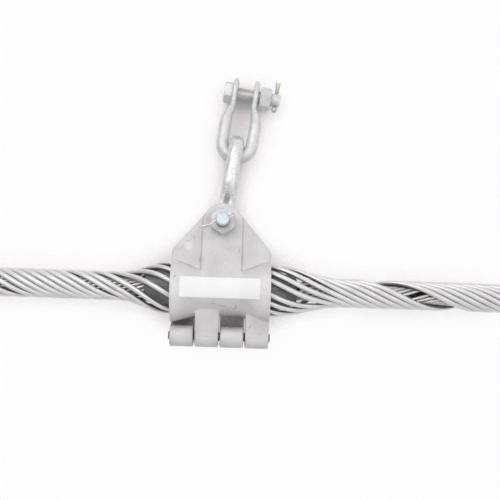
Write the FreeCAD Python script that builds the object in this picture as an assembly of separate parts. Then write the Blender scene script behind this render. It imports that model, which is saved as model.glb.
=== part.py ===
import FreeCAD, Part
import math
import os
from FreeCAD import Vector

# Suspension clamp for a self-supporting cable, in millimetres.
# The cable runs along X through the origin, Z is up and the nut of the clamp bolt faces -Y.

# Clearances
FIT = 0.08
SLIP = 0.3
SEAT = 0.02

# Cable and inner rods: left-hand wires laid close round the cable, with one slot left between two of them.
CABLE_RADIUS = 6.3
INNER_ROD_RADIUS = 2.25
INNER_ROD_COUNT = 10
INNER_ROD_LENGTH = 730.0
INNER_LAY_ANGLE = 20.0
INNER_SLOT = 4.2
INNER_SLOT_X = 234.0
INNER_STEPS_PER_TURN = 8
INNER_ROD_SIDES = 5

# Outer rods: right-hand wires over the inner rods, spread out over the rubber insert.
# The left openings give the extra degrees between two neighbours, by the place between their numbers.
OUTER_ROD_RADIUS = 3.1
OUTER_ROD_COUNT = 11
OUTER_ROD_LENGTH = 702.0
LAY_ANGLE_LEFT = 28.0
LAY_ANGLE_RIGHT = 24.0
OUTER_GAP_X = 235.0
OUTER_PHASE_LEFT = 17.0
OUTER_PHASE_RIGHT = 27.5
OUTER_GAP_SHIFT = -2
BUNCHING = 0.42
LEFT_OPENINGS = {4.5: 5.0, 3.5: 17.0, 2.5: 12.0, 0.5: 10.0}
RIGHT_OPENING = 7.5
RIGHT_OPENING_AT = 6.0
RIGHT_DROP = 4.5
RIGHT_CLOSING = 1.5
BULGE_PEAK_X = 62.0
BULGE_PEAK_RADIUS = 28.6
BULGE_WAIST_RADIUS = 20.4
BULGE_END_LEFT = 122.0
BULGE_END_RIGHT = 146.0
OUTER_ROD_SIDES = 6
RUN_STEP = 20.0
BULGE_STEP = 14.0

# Rubber insert, in an upper and a lower half
INSERT_LENGTH = 182.0
INSERT_END_RADIUS = 17.5
INSERT_SPLIT = 0.4
INSERT_CHAMFER = 2.0
INSERT_CREST = 14.0

# Cast housing, in a front and a back half
HOUSING_LENGTH = 117.0
BARREL_END_RADIUS = 42.0
BARREL_MIDDLE_RADIUS = 32.0
BARREL_MIDDLE_LENGTH = 46.0
MOUTH_DEPTH = 5.0
MOUTH_FLARE = 2.5
HALF_GAP = 0.6
BOLT_HEIGHT = 78.0
EAR_RADIUS = 22.5
EAR_SHOULDER_HEIGHT = 45.0
EAR_CORNER_RADIUS = 9.0
EAR_GAP = 34.0
EAR_THICKNESS = 7.0
RIB_RAISE = 4.4
RIB_TOP_WIDTH = 46.8
RIB_BOTTOM_WIDTH = 48.4
CAST_EDGE_RADIUS = 1.4
MARK_RADIUS = 6.0
MARK_RAISE = 0.3
MARK_ALONG = -39.0
MARK_HEIGHT = 48.5

# Hinge along the underside of the housing
HINGE_DROP = 57.0
KNUCKLE_RADIUS = 13.0
KNUCKLE_COUNT = 4
KNUCKLE_GAP = 1.6
KNUCKLE_CHAMFER = 1.2
HINGE_PIN_RADIUS = 5.2
HINGE_PIN_LENGTH = 121.6
HINGE_PIN_CHAMFER = 0.8
ARM_TOP_DEPTH = 21.0
ARM_TOP_DROP = 22.0
ARM_THICKNESS = 7.0

# Bolts, nuts and split pins
BOLT_RADIUS = 8.0
HEAD_FLATS = 24.0
HEAD_HEIGHT = 10.0
HEX_CHAMFER_SHARE = 0.96
HEX_CHAMFER_ANGLE = 30.0
CLAMP_NUT_FLATS = 27.0
NUT_HEIGHT = 13.5
BOLT_POINT = 1.5
TOWER_BOLT_LENGTH = 60.0
TOWER_NUT_STANDOFF = 2.3
CLAMP_BOLT_LENGTH = 88.0
COTTER_HOLE_RADIUS = 2.2
COTTER_HOLE_INSET = 5.6
COTTER_WIRE_RADIUS = 1.05
COTTER_WIRE_SIDES = 6
COTTER_EYE_RADIUS = 3.2
COTTER_EYE_OPENING = 100.0
COTTER_EYE_STEPS = 8
COTTER_SPREAD = 3.0
COTTER_SPLIT = 0.1
TOWER_COTTER_PRONG = 15.0
TOWER_COTTER_ANGLE = 180.0
CLAMP_COTTER_PRONG = 19.0
CLAMP_COTTER_ANGLE = 206.0

# Shackles: a round bar bent to a U, with forged flat ears
BAR_RADIUS = 7.5
CROWN_BAR_RADIUS = 8.7
BOW_RADIUS = 18.5
EAR_SPREAD = 26.0
EAR_PLATE_THICKNESS = 6.5
EAR_EYE_RADIUS = 16.0
EAR_TIP = 20.0
EAR_TIP_WIDTH = 5.0
EAR_SQUARENESS = 4.0
FLARE_LENGTH = 38.0
UPPER_NECK_LENGTH = 20.0
LOWER_NECK_LENGTH = 28.0
UPPER_SHACKLE_REACH = 88.0
LOWER_SHACKLE_REACH = 112.0
LOWER_NECK_START = 24.0
SHACKLE_SIDES = 10
BOW_STEPS = 8
SHACKLE_LEAN = 7.5

# Sticker
STICKER_LENGTH = 93.0
STICKER_HEIGHT = 24.0
STICKER_THICKNESS = 0.25
STICKER_CENTRE_HEIGHT = 0.5
STICKER_SHIFT = -0.6
STICKER_CORNER_RADIUS = 2.0


def axis_vector(angle):
    """Unit vector in the YZ plane, from the front (-Y) upwards by the angle in degrees."""
    turn = math.radians(angle)
    return Vector(0, -math.cos(turn), math.sin(turn))


def ease(start, end, share):
    """Smooth change from start to end as the share runs from 0 to 1."""
    share = min(max(share, 0.0), 1.0)
    return start + (end - start) * (0.5 - 0.5 * math.cos(math.pi * share))


def mirrored(point):
    """The same point on the other side of the YZ plane."""
    return Vector(-point.x, point.y, point.z)


def faceted_solid(rings):
    """Closed solid through rings of points, with triangular facets between them."""
    count = len(rings[0])
    triangles = []
    for here, after in zip(rings, rings[1:]):
        for index in range(count):
            nearby = (index + 1) % count
            triangles.append((here[index], here[nearby], after[nearby]))
            triangles.append((here[index], after[nearby], after[index]))
    for index in range(1, count - 1):
        triangles.append((rings[0][0], rings[0][index + 1], rings[0][index]))
        triangles.append((rings[-1][0], rings[-1][index], rings[-1][index + 1]))
    faces = [Part.Face(Part.makePolygon([a, b, c, a])) for a, b, c in triangles]
    solid = Part.Solid(Part.Shell(faces))
    if solid.Volume < 0:
        solid.reverse()
    return solid


def wire_solid(points, radius, sides, up):
    """Bent wire: a polygonal section carried along the points, with one corner kept towards up."""
    rings = []
    last = len(points) - 1
    for index, point in enumerate(points):
        along = points[min(index + 1, last)] - points[max(index - 1, 0)]
        along.normalize()
        side = along.cross(up(point))
        side.normalize()
        out = side.cross(along)
        ring = []
        for corner in range(sides):
            turn = 2 * math.pi * corner / sides
            ring.append(point + out * (radius * math.cos(turn)) + side * (radius * math.sin(turn)))
        rings.append(ring)
    return faceted_solid(rings)


def revolved(profile):
    """Solid of revolution about X from (x, radius) points, closed on the axis."""
    points = [Vector(x, 0, radius) for x, radius in profile]
    points = [Vector(profile[0][0], 0, 0)] + points + [Vector(profile[-1][0], 0, 0)]
    face = Part.Face(Part.makePolygon(points + [points[0]]))
    return face.revolve(Vector(0, 0, 0), Vector(1, 0, 0), 360)


# Inner rods
INNER_RING_RADIUS = CABLE_RADIUS + INNER_ROD_RADIUS + SLIP / 2
INNER_LAYER_RADIUS = INNER_RING_RADIUS + INNER_ROD_RADIUS


def inner_rod(index):
    """One left-hand rod of the inner layer."""
    pitch = 2 * math.pi * INNER_RING_RADIUS / math.tan(math.radians(INNER_LAY_ANGLE))
    slot = math.degrees(INNER_SLOT / INNER_RING_RADIUS)
    spacing = (360 - slot) / INNER_ROD_COUNT
    start = slot / 2 + spacing * (index + 0.5)
    turns = INNER_ROD_LENGTH / pitch
    steps = int(math.ceil(turns * INNER_STEPS_PER_TURN))
    points = []
    for step in range(steps + 1):
        x = -INNER_ROD_LENGTH / 2 + INNER_ROD_LENGTH * step / steps
        angle = start + 360 * (x - INNER_SLOT_X) / pitch
        points.append(Vector(x, 0, 0) + axis_vector(angle) * INNER_RING_RADIUS)
    return wire_solid(points, INNER_ROD_RADIUS - SLIP / 2, INNER_ROD_SIDES, lambda p: Vector(0, p.y, p.z))


# Outer rods
OUTER_RING_RADIUS = INNER_LAYER_RADIUS + OUTER_ROD_RADIUS + 1.5 * SLIP


def outer_route_radius(x):
    """Distance from the cable axis to the middle of an outer rod."""
    away = abs(x)
    if away <= BULGE_PEAK_X:
        return ease(BULGE_WAIST_RADIUS, BULGE_PEAK_RADIUS, away / BULGE_PEAK_X)
    end = BULGE_END_RIGHT if x > 0 else BULGE_END_LEFT
    share = (away - BULGE_PEAK_X) / (end - BULGE_PEAK_X)
    return ease(BULGE_PEAK_RADIUS, OUTER_RING_RADIUS, share)


def lay_turn(x):
    """Angle that an outer rod turns from the middle of the clamp to x, at a constant lay angle."""
    lay = LAY_ANGLE_RIGHT if x > 0 else LAY_ANGLE_LEFT
    step = 2.0
    pieces = max(1, int(abs(x) / step))
    turn = 0.0
    for piece in range(pieces):
        middle = x * (piece + 0.5) / pieces
        turn += math.tan(math.radians(lay)) / outer_route_radius(middle) * x / pieces
    return math.degrees(turn)


def outer_rod_angle(index, x):
    """Angle of a rod at x: in loose groups on the left, bunched to the front at the right, then close."""
    from_front = index - OUTER_ROD_COUNT // 2
    grouped = (360 - sum(LEFT_OPENINGS.values())) / OUTER_ROD_COUNT * from_front
    grouped -= sum(extra for place, extra in LEFT_OPENINGS.items() if index < place)
    left = grouped + OUTER_PHASE_LEFT - lay_turn(x) + lay_turn(-BULGE_PEAK_X)
    spread = 360.0 / OUTER_ROD_COUNT * from_front + OUTER_PHASE_RIGHT
    bunched = spread - math.degrees(BUNCHING * math.sin(math.radians(spread)))
    bunched += RIGHT_OPENING * math.tanh((bunched - RIGHT_OPENING_AT) / RIGHT_OPENING_AT)
    edge = bunched - RIGHT_DROP - lay_turn(x) + lay_turn(BULGE_PEAK_X)
    width = 2 * (OUTER_ROD_RADIUS + SLIP / 4) / math.cos(math.radians(LAY_ANGLE_RIGHT))
    place = index + OUTER_GAP_SHIFT
    from_middle = place % OUTER_ROD_COUNT - OUTER_ROD_COUNT // 2
    close = math.degrees(width / OUTER_RING_RADIUS) * from_middle + 360 * (place // OUTER_ROD_COUNT)
    run = close - 180 - lay_turn(x) + lay_turn(OUTER_GAP_X)
    angle = ease(left, edge, (x + BULGE_PEAK_X) / (2 * BULGE_PEAK_X))
    share = max(0.0, x - BULGE_PEAK_X) / (BULGE_END_RIGHT - BULGE_PEAK_X)
    return ease(angle, run, share ** RIGHT_CLOSING)


def outer_rod_stations():
    """Places along X of a rod's bends, closer together over the insert than along the cable."""
    half = OUTER_ROD_LENGTH / 2
    stretches = [(-half, -BULGE_END_LEFT, RUN_STEP), (-BULGE_END_LEFT, BULGE_END_RIGHT, BULGE_STEP),
                 (BULGE_END_RIGHT, half, RUN_STEP)]
    stations = []
    for start, end, length in stretches:
        count = max(1, math.ceil((end - start) / length))
        stations += [start + (end - start) * step / count for step in range(count)]
    return stations + [half]


def outer_rod(index):
    """One right-hand rod of the outer layer."""
    points = []
    for x in outer_rod_stations():
        points.append(Vector(x, 0, 0) + axis_vector(outer_rod_angle(index, x)) * outer_route_radius(x))
    return wire_solid(points, OUTER_ROD_RADIUS - SLIP / 2, OUTER_ROD_SIDES, lambda p: Vector(0, p.y, p.z))


# Rubber insert
def insert_radius(x):
    """Outside of the insert: it fills the space under the outer rods and narrows to its ends."""
    half = INSERT_LENGTH / 2
    under_rods = outer_route_radius(-abs(x)) - OUTER_ROD_RADIUS - 2.5 * SLIP
    share = (abs(x) - BULGE_PEAK_X) / (half - BULGE_PEAK_X)
    return min(under_rods, ease(under_rods, INSERT_END_RADIUS, share))


def insert_half(side):
    """Upper (side 1) or lower (side -1) half of the rubber insert."""
    half = INSERT_LENGTH / 2
    stations = [0, 0.45 * BULGE_PEAK_X, BULGE_PEAK_X - INSERT_CREST / 2,
                BULGE_PEAK_X + INSERT_CREST / 2, half - INSERT_CHAMFER]
    profile = [(half, INSERT_END_RADIUS - INSERT_CHAMFER)]
    profile += [(x, insert_radius(x)) for x in reversed(stations)]
    profile += [(-x, insert_radius(x)) for x in stations[1:]]
    profile.append((-half, INSERT_END_RADIUS - INSERT_CHAMFER))
    body = revolved(profile)
    bore = Part.makeCylinder(INNER_LAYER_RADIUS + SLIP / 2, INSERT_LENGTH + 2,
                             Vector(-half - 1, 0, 0), Vector(1, 0, 0))
    wide = 2 * BULGE_PEAK_RADIUS
    box = Part.makeBox(INSERT_LENGTH + 2, 2 * wide, wide, Vector(-half - 1, -wide, INSERT_SPLIT / 2))
    if side < 0:
        box = box.mirror(Vector(0, 0, 0), Vector(0, 0, 1))
    return body.cut(bore).common(box)


# Cast housing
EAR_FACE = EAR_GAP / 2 + EAR_THICKNESS
RIB_FACE = EAR_FACE + RIB_RAISE
KNUCKLE_WIDTH = (HOUSING_LENGTH + 1 - KNUCKLE_GAP * (KNUCKLE_COUNT - 1)) / KNUCKLE_COUNT


def barrel():
    """Outside of the barrel: round in the middle and flared to both ends."""
    half = HOUSING_LENGTH / 2
    middle = BARREL_MIDDLE_LENGTH / 2
    return revolved([(half, BARREL_END_RADIUS), (middle, BARREL_MIDDLE_RADIUS),
                     (-middle, BARREL_MIDDLE_RADIUS), (-half, BARREL_END_RADIUS)])


def cavity():
    """Space inside the housing for the rods, with a flared mouth at each end."""
    half = HOUSING_LENGTH / 2
    stations = [0, 0.6 * BULGE_PEAK_X, half - MOUTH_DEPTH]
    radii = [outer_route_radius(x) + OUTER_ROD_RADIUS + SLIP for x in stations]
    side = list(zip(stations, radii))
    side.append((half, radii[-1] + MOUTH_FLARE))
    side.append((half + 1, radii[-1] + MOUTH_FLARE))
    profile = side[::-1] + [(-x, radius) for x, radius in side[1:]]
    return revolved(profile)


def ear_outline():
    """Outline of the ear plate: a round head over the bolt and straight slopes to two rounded shoulders."""
    half = HOUSING_LENGTH / 2
    centre = Vector(0, 0, BOLT_HEIGHT)
    shoulder = Vector(half, 0, EAR_SHOULDER_HEIGHT)
    away = shoulder - centre
    tilt = math.atan2(away.z, away.x) + math.acos(EAR_RADIUS / away.Length)
    tangent = centre + Vector(math.cos(tilt), 0, math.sin(tilt)) * EAR_RADIUS
    top = centre + Vector(0, 0, EAR_RADIUS)
    slope = (tangent - shoulder).normalize()
    bend = slope.getAngle(Vector(0, 0, -1))
    trim = EAR_CORNER_RADIUS / math.tan(bend / 2)
    upper = shoulder + slope * trim
    lower = shoulder - Vector(0, 0, trim)
    inward = (slope + Vector(0, 0, -1)).normalize()
    centre_corner = shoulder + inward * (EAR_CORNER_RADIUS / math.sin(bend / 2))
    crown = centre_corner - inward * EAR_CORNER_RADIUS
    edges = [Part.Arc(mirrored(tangent), top, tangent).toShape(), Part.makeLine(tangent, upper),
             Part.Arc(upper, crown, lower).toShape(), Part.makeLine(lower, Vector(half, 0, 0)),
             Part.makeLine(Vector(half, 0, 0), Vector(-half, 0, 0)),
             Part.makeLine(Vector(-half, 0, 0), mirrored(lower)),
             Part.Arc(mirrored(lower), mirrored(crown), mirrored(upper)).toShape(),
             Part.makeLine(mirrored(upper), mirrored(tangent))]
    return Part.Face(Part.Wire(Part.__sortEdges__(edges)))


def softened(shape, front):
    """The cast shape with rounded edges all round its front face, apart from its foot in the barrel."""
    edges = []
    for edge in shape.Edges:
        box = edge.BoundBox
        if abs(box.YMin - front) < FIT and abs(box.YMax - front) < FIT and box.ZMax > FIT:
            edges.append(edge)
    return shape.makeFillet(CAST_EDGE_RADIUS, edges)


def ear_plate(depth):
    """The ear outline as a plate from the inner face of the front ear forwards."""
    plate = ear_outline().extrude(Vector(0, -depth, 0))
    plate.translate(Vector(0, -EAR_GAP / 2, 0))
    return plate


def rib():
    """Raised rib from the top of the ear down to the barrel."""
    inside = -EAR_GAP / 2
    depth = RIB_FACE - EAR_GAP / 2
    ceiling = BOLT_HEIGHT + EAR_RADIUS
    top = RIB_TOP_WIDTH / 2
    foot = RIB_BOTTOM_WIDTH / 2
    points = [Vector(-top, inside, ceiling), Vector(top, inside, ceiling),
              Vector(foot, inside, 0), Vector(-foot, inside, 0)]
    web = Part.Face(Part.makePolygon(points + [points[0]])).extrude(Vector(0, -depth, 0))
    return softened(web.common(ear_plate(depth)).removeSplitter(), -RIB_FACE)


def casting_mark():
    """Low round pad on the slope of the front ear, with nothing on it."""
    start = Vector(MARK_ALONG, -EAR_GAP / 2, MARK_HEIGHT)
    return Part.makeCylinder(MARK_RADIUS, EAR_THICKNESS + MARK_RAISE, start, Vector(0, -1, 0))


def knuckle_start(index):
    """Left end of one hinge knuckle."""
    return -(HOUSING_LENGTH + 1) / 2 + index * (KNUCKLE_WIDTH + KNUCKLE_GAP)


def knuckle(index):
    """One hinge knuckle with the wall that carries it, on the front half."""
    start = knuckle_start(index)
    centre = Vector(start, 0, -HINGE_DROP)
    roll = Part.makeCylinder(KNUCKLE_RADIUS, KNUCKLE_WIDTH, centre, Vector(1, 0, 0))
    rims = [edge for edge in roll.Edges if edge.BoundBox.XLength < FIT]
    roll = roll.makeChamfer(KNUCKLE_CHAMFER, rims)
    top = Vector(start, -ARM_TOP_DEPTH, -ARM_TOP_DROP)
    away = top - centre
    tilt = math.atan2(away.z, away.y) + math.acos(KNUCKLE_RADIUS / math.hypot(away.y, away.z))
    tangent = Vector(start, KNUCKLE_RADIUS * math.cos(tilt), KNUCKLE_RADIUS * math.sin(tilt) - HINGE_DROP)
    points = [top, tangent, centre, top + Vector(0, ARM_THICKNESS, 0)]
    arm = Part.Face(Part.makePolygon(points + [points[0]])).extrude(Vector(KNUCKLE_WIDTH, 0, 0))
    return roll.fuse(arm)


def housing_half(side, knuckles):
    """Front (side -1) or back (side 1) half of the housing, with its own knuckles."""
    plate = softened(ear_plate(EAR_THICKNESS), -EAR_FACE)
    body = barrel().fuse(plate).fuse(rib())
    if side < 0:
        body = body.fuse(casting_mark())
    reach = 2 * (BOLT_HEIGHT + EAR_RADIUS + BARREL_END_RADIUS)
    corner = Vector(-HOUSING_LENGTH, -reach - HALF_GAP / 2, -reach / 2)
    body = body.common(Part.makeBox(2 * HOUSING_LENGTH, reach, reach, corner))
    for index in knuckles:
        body = body.fuse(knuckle(index))
    body = body.cut(cavity())
    if side > 0:
        body = body.mirror(Vector(0, 0, 0), Vector(0, 1, 0))
    body = body.cut(clamp_bolt_bore())
    body = body.cut(Part.makeCylinder(HINGE_PIN_RADIUS + FIT, 2 * HOUSING_LENGTH,
                                      Vector(-HOUSING_LENGTH, 0, -HINGE_DROP), Vector(1, 0, 0)))
    return body.removeSplitter()


def clamp_bolt_bore():
    """Hole for the clamp bolt through both ears."""
    start = Vector(0, -2 * RIB_FACE, BOLT_HEIGHT)
    return Part.makeCylinder(BOLT_RADIUS + FIT, 4 * RIB_FACE, start, Vector(0, 1, 0))


def hinge_pin():
    """Straight pin with chamfered ends through the knuckles."""
    pin = Part.makeCylinder(HINGE_PIN_RADIUS, HINGE_PIN_LENGTH,
                            Vector(-HINGE_PIN_LENGTH / 2, 0, -HINGE_DROP), Vector(1, 0, 0))
    return pin.makeChamfer(HINGE_PIN_CHAMFER, pin.Edges)


# Bolts, nuts and split pins, each made along Z from the underside of its head
def hexagon(flats, height, high_too):
    """Hexagonal prism on the XY plane, a corner towards X, with chamfered corners below and also above."""
    corner_radius = flats / 2 / math.cos(math.pi / 6)
    points = []
    for corner in range(7):
        turn = math.pi / 3 * corner
        points.append(Vector(corner_radius * math.cos(turn), corner_radius * math.sin(turn), 0))
    prism = Part.Face(Part.makePolygon(points)).extrude(Vector(0, 0, height))
    inner = flats / 2 * HEX_CHAMFER_SHARE
    outer = 2 * corner_radius - inner
    rise = (outer - inner) * math.tan(math.radians(HEX_CHAMFER_ANGLE))
    profile = [(0, inner), (rise, outer)]
    profile += [(height - rise, outer), (height, inner)] if high_too else [(height, outer)]
    lathed = revolved(profile)
    lathed.rotate(Vector(0, 0, 0), Vector(0, 1, 0), -90)
    return prism.common(lathed)


def bolt(length, cotter_angle):
    """Hexagon bolt: head below the origin, shank along +Z and a cross hole for the split pin."""
    shank = Part.makeCylinder(BOLT_RADIUS, length - BOLT_POINT)
    tip = Vector(0, 0, length - BOLT_POINT)
    point = Part.makeCone(BOLT_RADIUS, BOLT_RADIUS - BOLT_POINT, BOLT_POINT, tip)
    head = hexagon(HEAD_FLATS, HEAD_HEIGHT, False)
    head.rotate(Vector(0, 0, 0), Vector(0, 0, 1), 30)
    head.translate(Vector(0, 0, -HEAD_HEIGHT))
    body = head.fuse(shank).fuse(point)
    start = Vector(-2 * BOLT_RADIUS, 0, length - COTTER_HOLE_INSET)
    hole = Part.makeCylinder(COTTER_HOLE_RADIUS, 4 * BOLT_RADIUS, start, Vector(1, 0, 0))
    hole.rotate(Vector(0, 0, 0), Vector(0, 0, 1), cotter_angle)
    return body.cut(hole).removeSplitter()


def nut(flats):
    """Hexagon nut from Z 0 upwards."""
    return hexagon(flats, NUT_HEIGHT, True).cut(Part.makeCylinder(BOLT_RADIUS + FIT, NUT_HEIGHT))


def cotter(prong):
    """Split pin along X: a folded wire with an eye at -X and two prongs at +X."""
    offset = COTTER_WIRE_RADIUS + COTTER_SPLIT / 2
    eye_x = -BOLT_RADIUS - COTTER_EYE_RADIUS
    points = [Vector(BOLT_RADIUS + prong, COTTER_SPREAD * offset, 0),
              Vector(BOLT_RADIUS + prong / 2, COTTER_SPREAD / 2 * offset, 0),
              Vector(BOLT_RADIUS, offset, 0), Vector(-BOLT_RADIUS - SLIP, offset, 0)]
    for step in range(COTTER_EYE_STEPS + 1):
        arc = (360 - COTTER_EYE_OPENING) * step / COTTER_EYE_STEPS
        turn = math.radians(COTTER_EYE_OPENING / 2 + arc)
        bend = Vector(math.cos(turn), math.sin(turn), 0) * COTTER_EYE_RADIUS
        points.append(Vector(eye_x, 0, 0) + bend)
    points += [Vector(p.x, -p.y, 0) for p in reversed(points[:4])]
    return wire_solid(points, COTTER_WIRE_RADIUS, COTTER_WIRE_SIDES, lambda p: Vector(0, 0, 1))


# Shackles
def shackle_side(reach, neck_start, neck_length):
    """Stations down one leg: distance below the bolt, offset, half thickness, half width, squareness."""
    ear = EAR_SPREAD / 2
    thin = EAR_PLATE_THICKNESS / 2
    straight = reach - CROWN_BAR_RADIUS - BOW_RADIUS
    rows = []
    for share in (0.985, 0.85, 0.5, 0.0):
        width = EAR_EYE_RADIUS * math.sqrt(1 - share * share)
        rows.append((-share * EAR_TIP, ear, thin, max(width, EAR_TIP_WIDTH / 2), EAR_SQUARENESS))
    for share in (0.0, 0.33, 0.67, 1.0):
        below = neck_start + share * neck_length
        width = ease(EAR_EYE_RADIUS, BAR_RADIUS, below / FLARE_LENGTH)
        square = EAR_SQUARENESS + (2.0 - EAR_SQUARENESS) * share
        rows.append((below, ease(ear, BOW_RADIUS, share), ease(thin, BAR_RADIUS, share), width, square))
    rows.append((straight, BOW_RADIUS, BAR_RADIUS, BAR_RADIUS, 2.0))
    return rows


def shackle(reach, neck_start, neck_length):
    """U shackle with its bolt axis along X at the origin and its bow down Z."""
    side = shackle_side(reach, neck_start, neck_length)
    straight = reach - CROWN_BAR_RADIUS - BOW_RADIUS
    rows = [(Vector(offset, 0, -below), thin, wide, square) for below, offset, thin, wide, square in side]
    for step in range(1, BOW_STEPS):
        turn = math.pi * step / BOW_STEPS
        place = Vector(BOW_RADIUS * math.cos(turn), 0, -straight - BOW_RADIUS * math.sin(turn))
        bar = BAR_RADIUS + (CROWN_BAR_RADIUS - BAR_RADIUS) * math.sin(turn)
        rows.append((place, bar, bar, 2.0))
    for place, thin, wide, square in reversed(rows[:len(side)]):
        rows.append((mirrored(place), thin, wide, square))
    rings = []
    last = len(rows) - 1
    for index, (place, thin, wide, square) in enumerate(rows):
        along = rows[min(index + 1, last)][0] - rows[max(index - 1, 0)][0]
        along.normalize()
        across = along.cross(Vector(0, 1, 0))
        across.normalize()
        ring = []
        for corner in range(SHACKLE_SIDES):
            turn = 2 * math.pi * (corner + 0.5) / SHACKLE_SIDES
            flat = math.copysign(abs(math.cos(turn)) ** (2 / square), math.cos(turn)) * thin
            broad = math.copysign(abs(math.sin(turn)) ** (2 / square), math.sin(turn)) * wide
            ring.append(place + across * flat + Vector(0, broad, 0))
        rings.append(ring)
    body = faceted_solid(rings)
    start = Vector(-2 * EAR_SPREAD, 0, 0)
    hole = Part.makeCylinder(BOLT_RADIUS + FIT, 4 * EAR_SPREAD, start, Vector(1, 0, 0))
    return body.cut(hole)


# Sticker
def blank_sticker():
    """Plain sticker on the front of the barrel, bent to its surface."""
    middle = BARREL_MIDDLE_LENGTH / 2
    half = STICKER_LENGTH / 2
    reach = half + abs(STICKER_SHIFT)
    flare = (BARREL_END_RADIUS - BARREL_MIDDLE_RADIUS) / (HOUSING_LENGTH / 2 - middle)
    layers = []
    for lift in (FIT, FIT + STICKER_THICKNESS):
        radius = BARREL_MIDDLE_RADIUS + lift
        edge = radius + flare * (reach - middle)
        layers.append(revolved([(reach, edge), (middle, radius), (-middle, radius), (-reach, edge)]))
    skin = layers[1].cut(layers[0])
    depth = 2 * BARREL_END_RADIUS
    corner = Vector(STICKER_SHIFT - half, -depth, STICKER_CENTRE_HEIGHT - STICKER_HEIGHT / 2)
    window = Part.makeBox(2 * half, depth, STICKER_HEIGHT, corner)
    corners = [edge for edge in window.Edges if abs(edge.tangentAt(0).y) > 0.5]
    return skin.common(window.makeFillet(STICKER_CORNER_RADIUS, corners))


# Assembly
EAR_OUTSIDE = (EAR_SPREAD + EAR_PLATE_THICKNESS) / 2
CHAIN_LENGTH = UPPER_SHACKLE_REACH + LOWER_SHACKLE_REACH - 4 * CROWN_BAR_RADIUS - SLIP
UPPER_NECK_START = HEAD_FLATS / math.sqrt(3) + 2 * SLIP
CHAIN_FOOT = Vector(0, 0, BOLT_HEIGHT)


def leaned(shape):
    """The shape turned about the clamp bolt with the hanging chain."""
    shape.rotate(CHAIN_FOOT, Vector(0, 1, 0), SHACKLE_LEAN)
    return shape


def placed_tower_bolt(shape):
    """A part made along Z from the bolt head, placed on the upper bolt."""
    shape.rotate(Vector(0, 0, 0), Vector(0, 1, 0), 90)
    shape.translate(Vector(-EAR_OUTSIDE - SEAT, 0, BOLT_HEIGHT + CHAIN_LENGTH))
    return leaned(shape)


def placed_clamp_bolt(shape):
    """A part made along Z from the bolt head, placed on the clamp bolt with its end to the front."""
    shape.rotate(Vector(0, 0, 0), Vector(1, 0, 0), 90)
    shape.translate(Vector(0, RIB_FACE + SEAT, BOLT_HEIGHT))
    return shape


def build_parts():
    """Every piece of the clamp by its name."""
    parts = {}
    parts["tower_bolt"] = placed_tower_bolt(bolt(TOWER_BOLT_LENGTH, TOWER_COTTER_ANGLE))
    tower_nut = nut(HEAD_FLATS)
    tower_nut.translate(Vector(0, 0, 2 * (EAR_OUTSIDE + SEAT) + TOWER_NUT_STANDOFF))
    parts["tower_nut"] = placed_tower_bolt(tower_nut)
    tower_cotter = cotter(TOWER_COTTER_PRONG)
    tower_cotter.rotate(Vector(0, 0, 0), Vector(1, 0, 0), 90)
    tower_cotter.rotate(Vector(0, 0, 0), Vector(0, 0, 1), TOWER_COTTER_ANGLE)
    tower_cotter.translate(Vector(0, 0, TOWER_BOLT_LENGTH - COTTER_HOLE_INSET))
    parts["tower_cotter"] = placed_tower_bolt(tower_cotter)
    upper = shackle(UPPER_SHACKLE_REACH, UPPER_NECK_START, UPPER_NECK_LENGTH)
    upper.translate(Vector(0, 0, BOLT_HEIGHT + CHAIN_LENGTH))
    parts["upper_shackle"] = leaned(upper)
    lower = shackle(LOWER_SHACKLE_REACH, LOWER_NECK_START, LOWER_NECK_LENGTH)
    lower.rotate(Vector(0, 0, 0), Vector(1, 0, 0), 180)
    lower.rotate(Vector(0, 0, 0), Vector(0, 0, 1), 90)
    lower.translate(CHAIN_FOOT)
    parts["lower_shackle"] = leaned(lower)
    parts["clamp_bolt"] = placed_clamp_bolt(bolt(CLAMP_BOLT_LENGTH, CLAMP_COTTER_ANGLE))
    clamp_nut = nut(CLAMP_NUT_FLATS)
    clamp_nut.rotate(Vector(0, 0, 0), Vector(0, 0, 1), 30)
    clamp_nut.translate(Vector(0, 0, 2 * (RIB_FACE + SEAT)))
    parts["clamp_nut"] = placed_clamp_bolt(clamp_nut)
    clamp_cotter = cotter(CLAMP_COTTER_PRONG)
    clamp_cotter.rotate(Vector(0, 0, 0), Vector(0, 0, 1), CLAMP_COTTER_ANGLE)
    clamp_cotter.translate(Vector(0, 0, CLAMP_BOLT_LENGTH - COTTER_HOLE_INSET))
    parts["clamp_cotter"] = placed_clamp_bolt(clamp_cotter)
    parts["housing_front"] = housing_half(-1, [1, 3])
    parts["housing_back"] = housing_half(1, [0, 2])
    parts["hinge_pin"] = hinge_pin()
    parts["insert_upper"] = insert_half(1)
    parts["insert_lower"] = insert_half(-1)
    parts["blank_sticker"] = blank_sticker()
    for index in range(OUTER_ROD_COUNT):
        parts["outer_rod_%02d" % (index + 1)] = outer_rod(index)
    for index in range(INNER_ROD_COUNT):
        parts["inner_rod_%02d" % (index + 1)] = inner_rod(index)
    return parts


os.makedirs("parts", exist_ok=True)
for name, shape in build_parts().items():
    shape.exportStep("parts/" + name + ".step")
    print(name, len(shape.Solids), round(shape.Volume), shape.isValid())
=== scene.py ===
# %% [markdown]
# This lesson dresses a suspension clamp. It is the fitting that holds a self-supporting cable under a tower
# arm: two linked shackles, a hinged cast housing, a rubber insert and two layers of wound rods. The
# measured model is loaded first and stays fixed. Every new piece is made in its place and rides on one of
# its bodies.

# %% Load the measured model
import math

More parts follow.
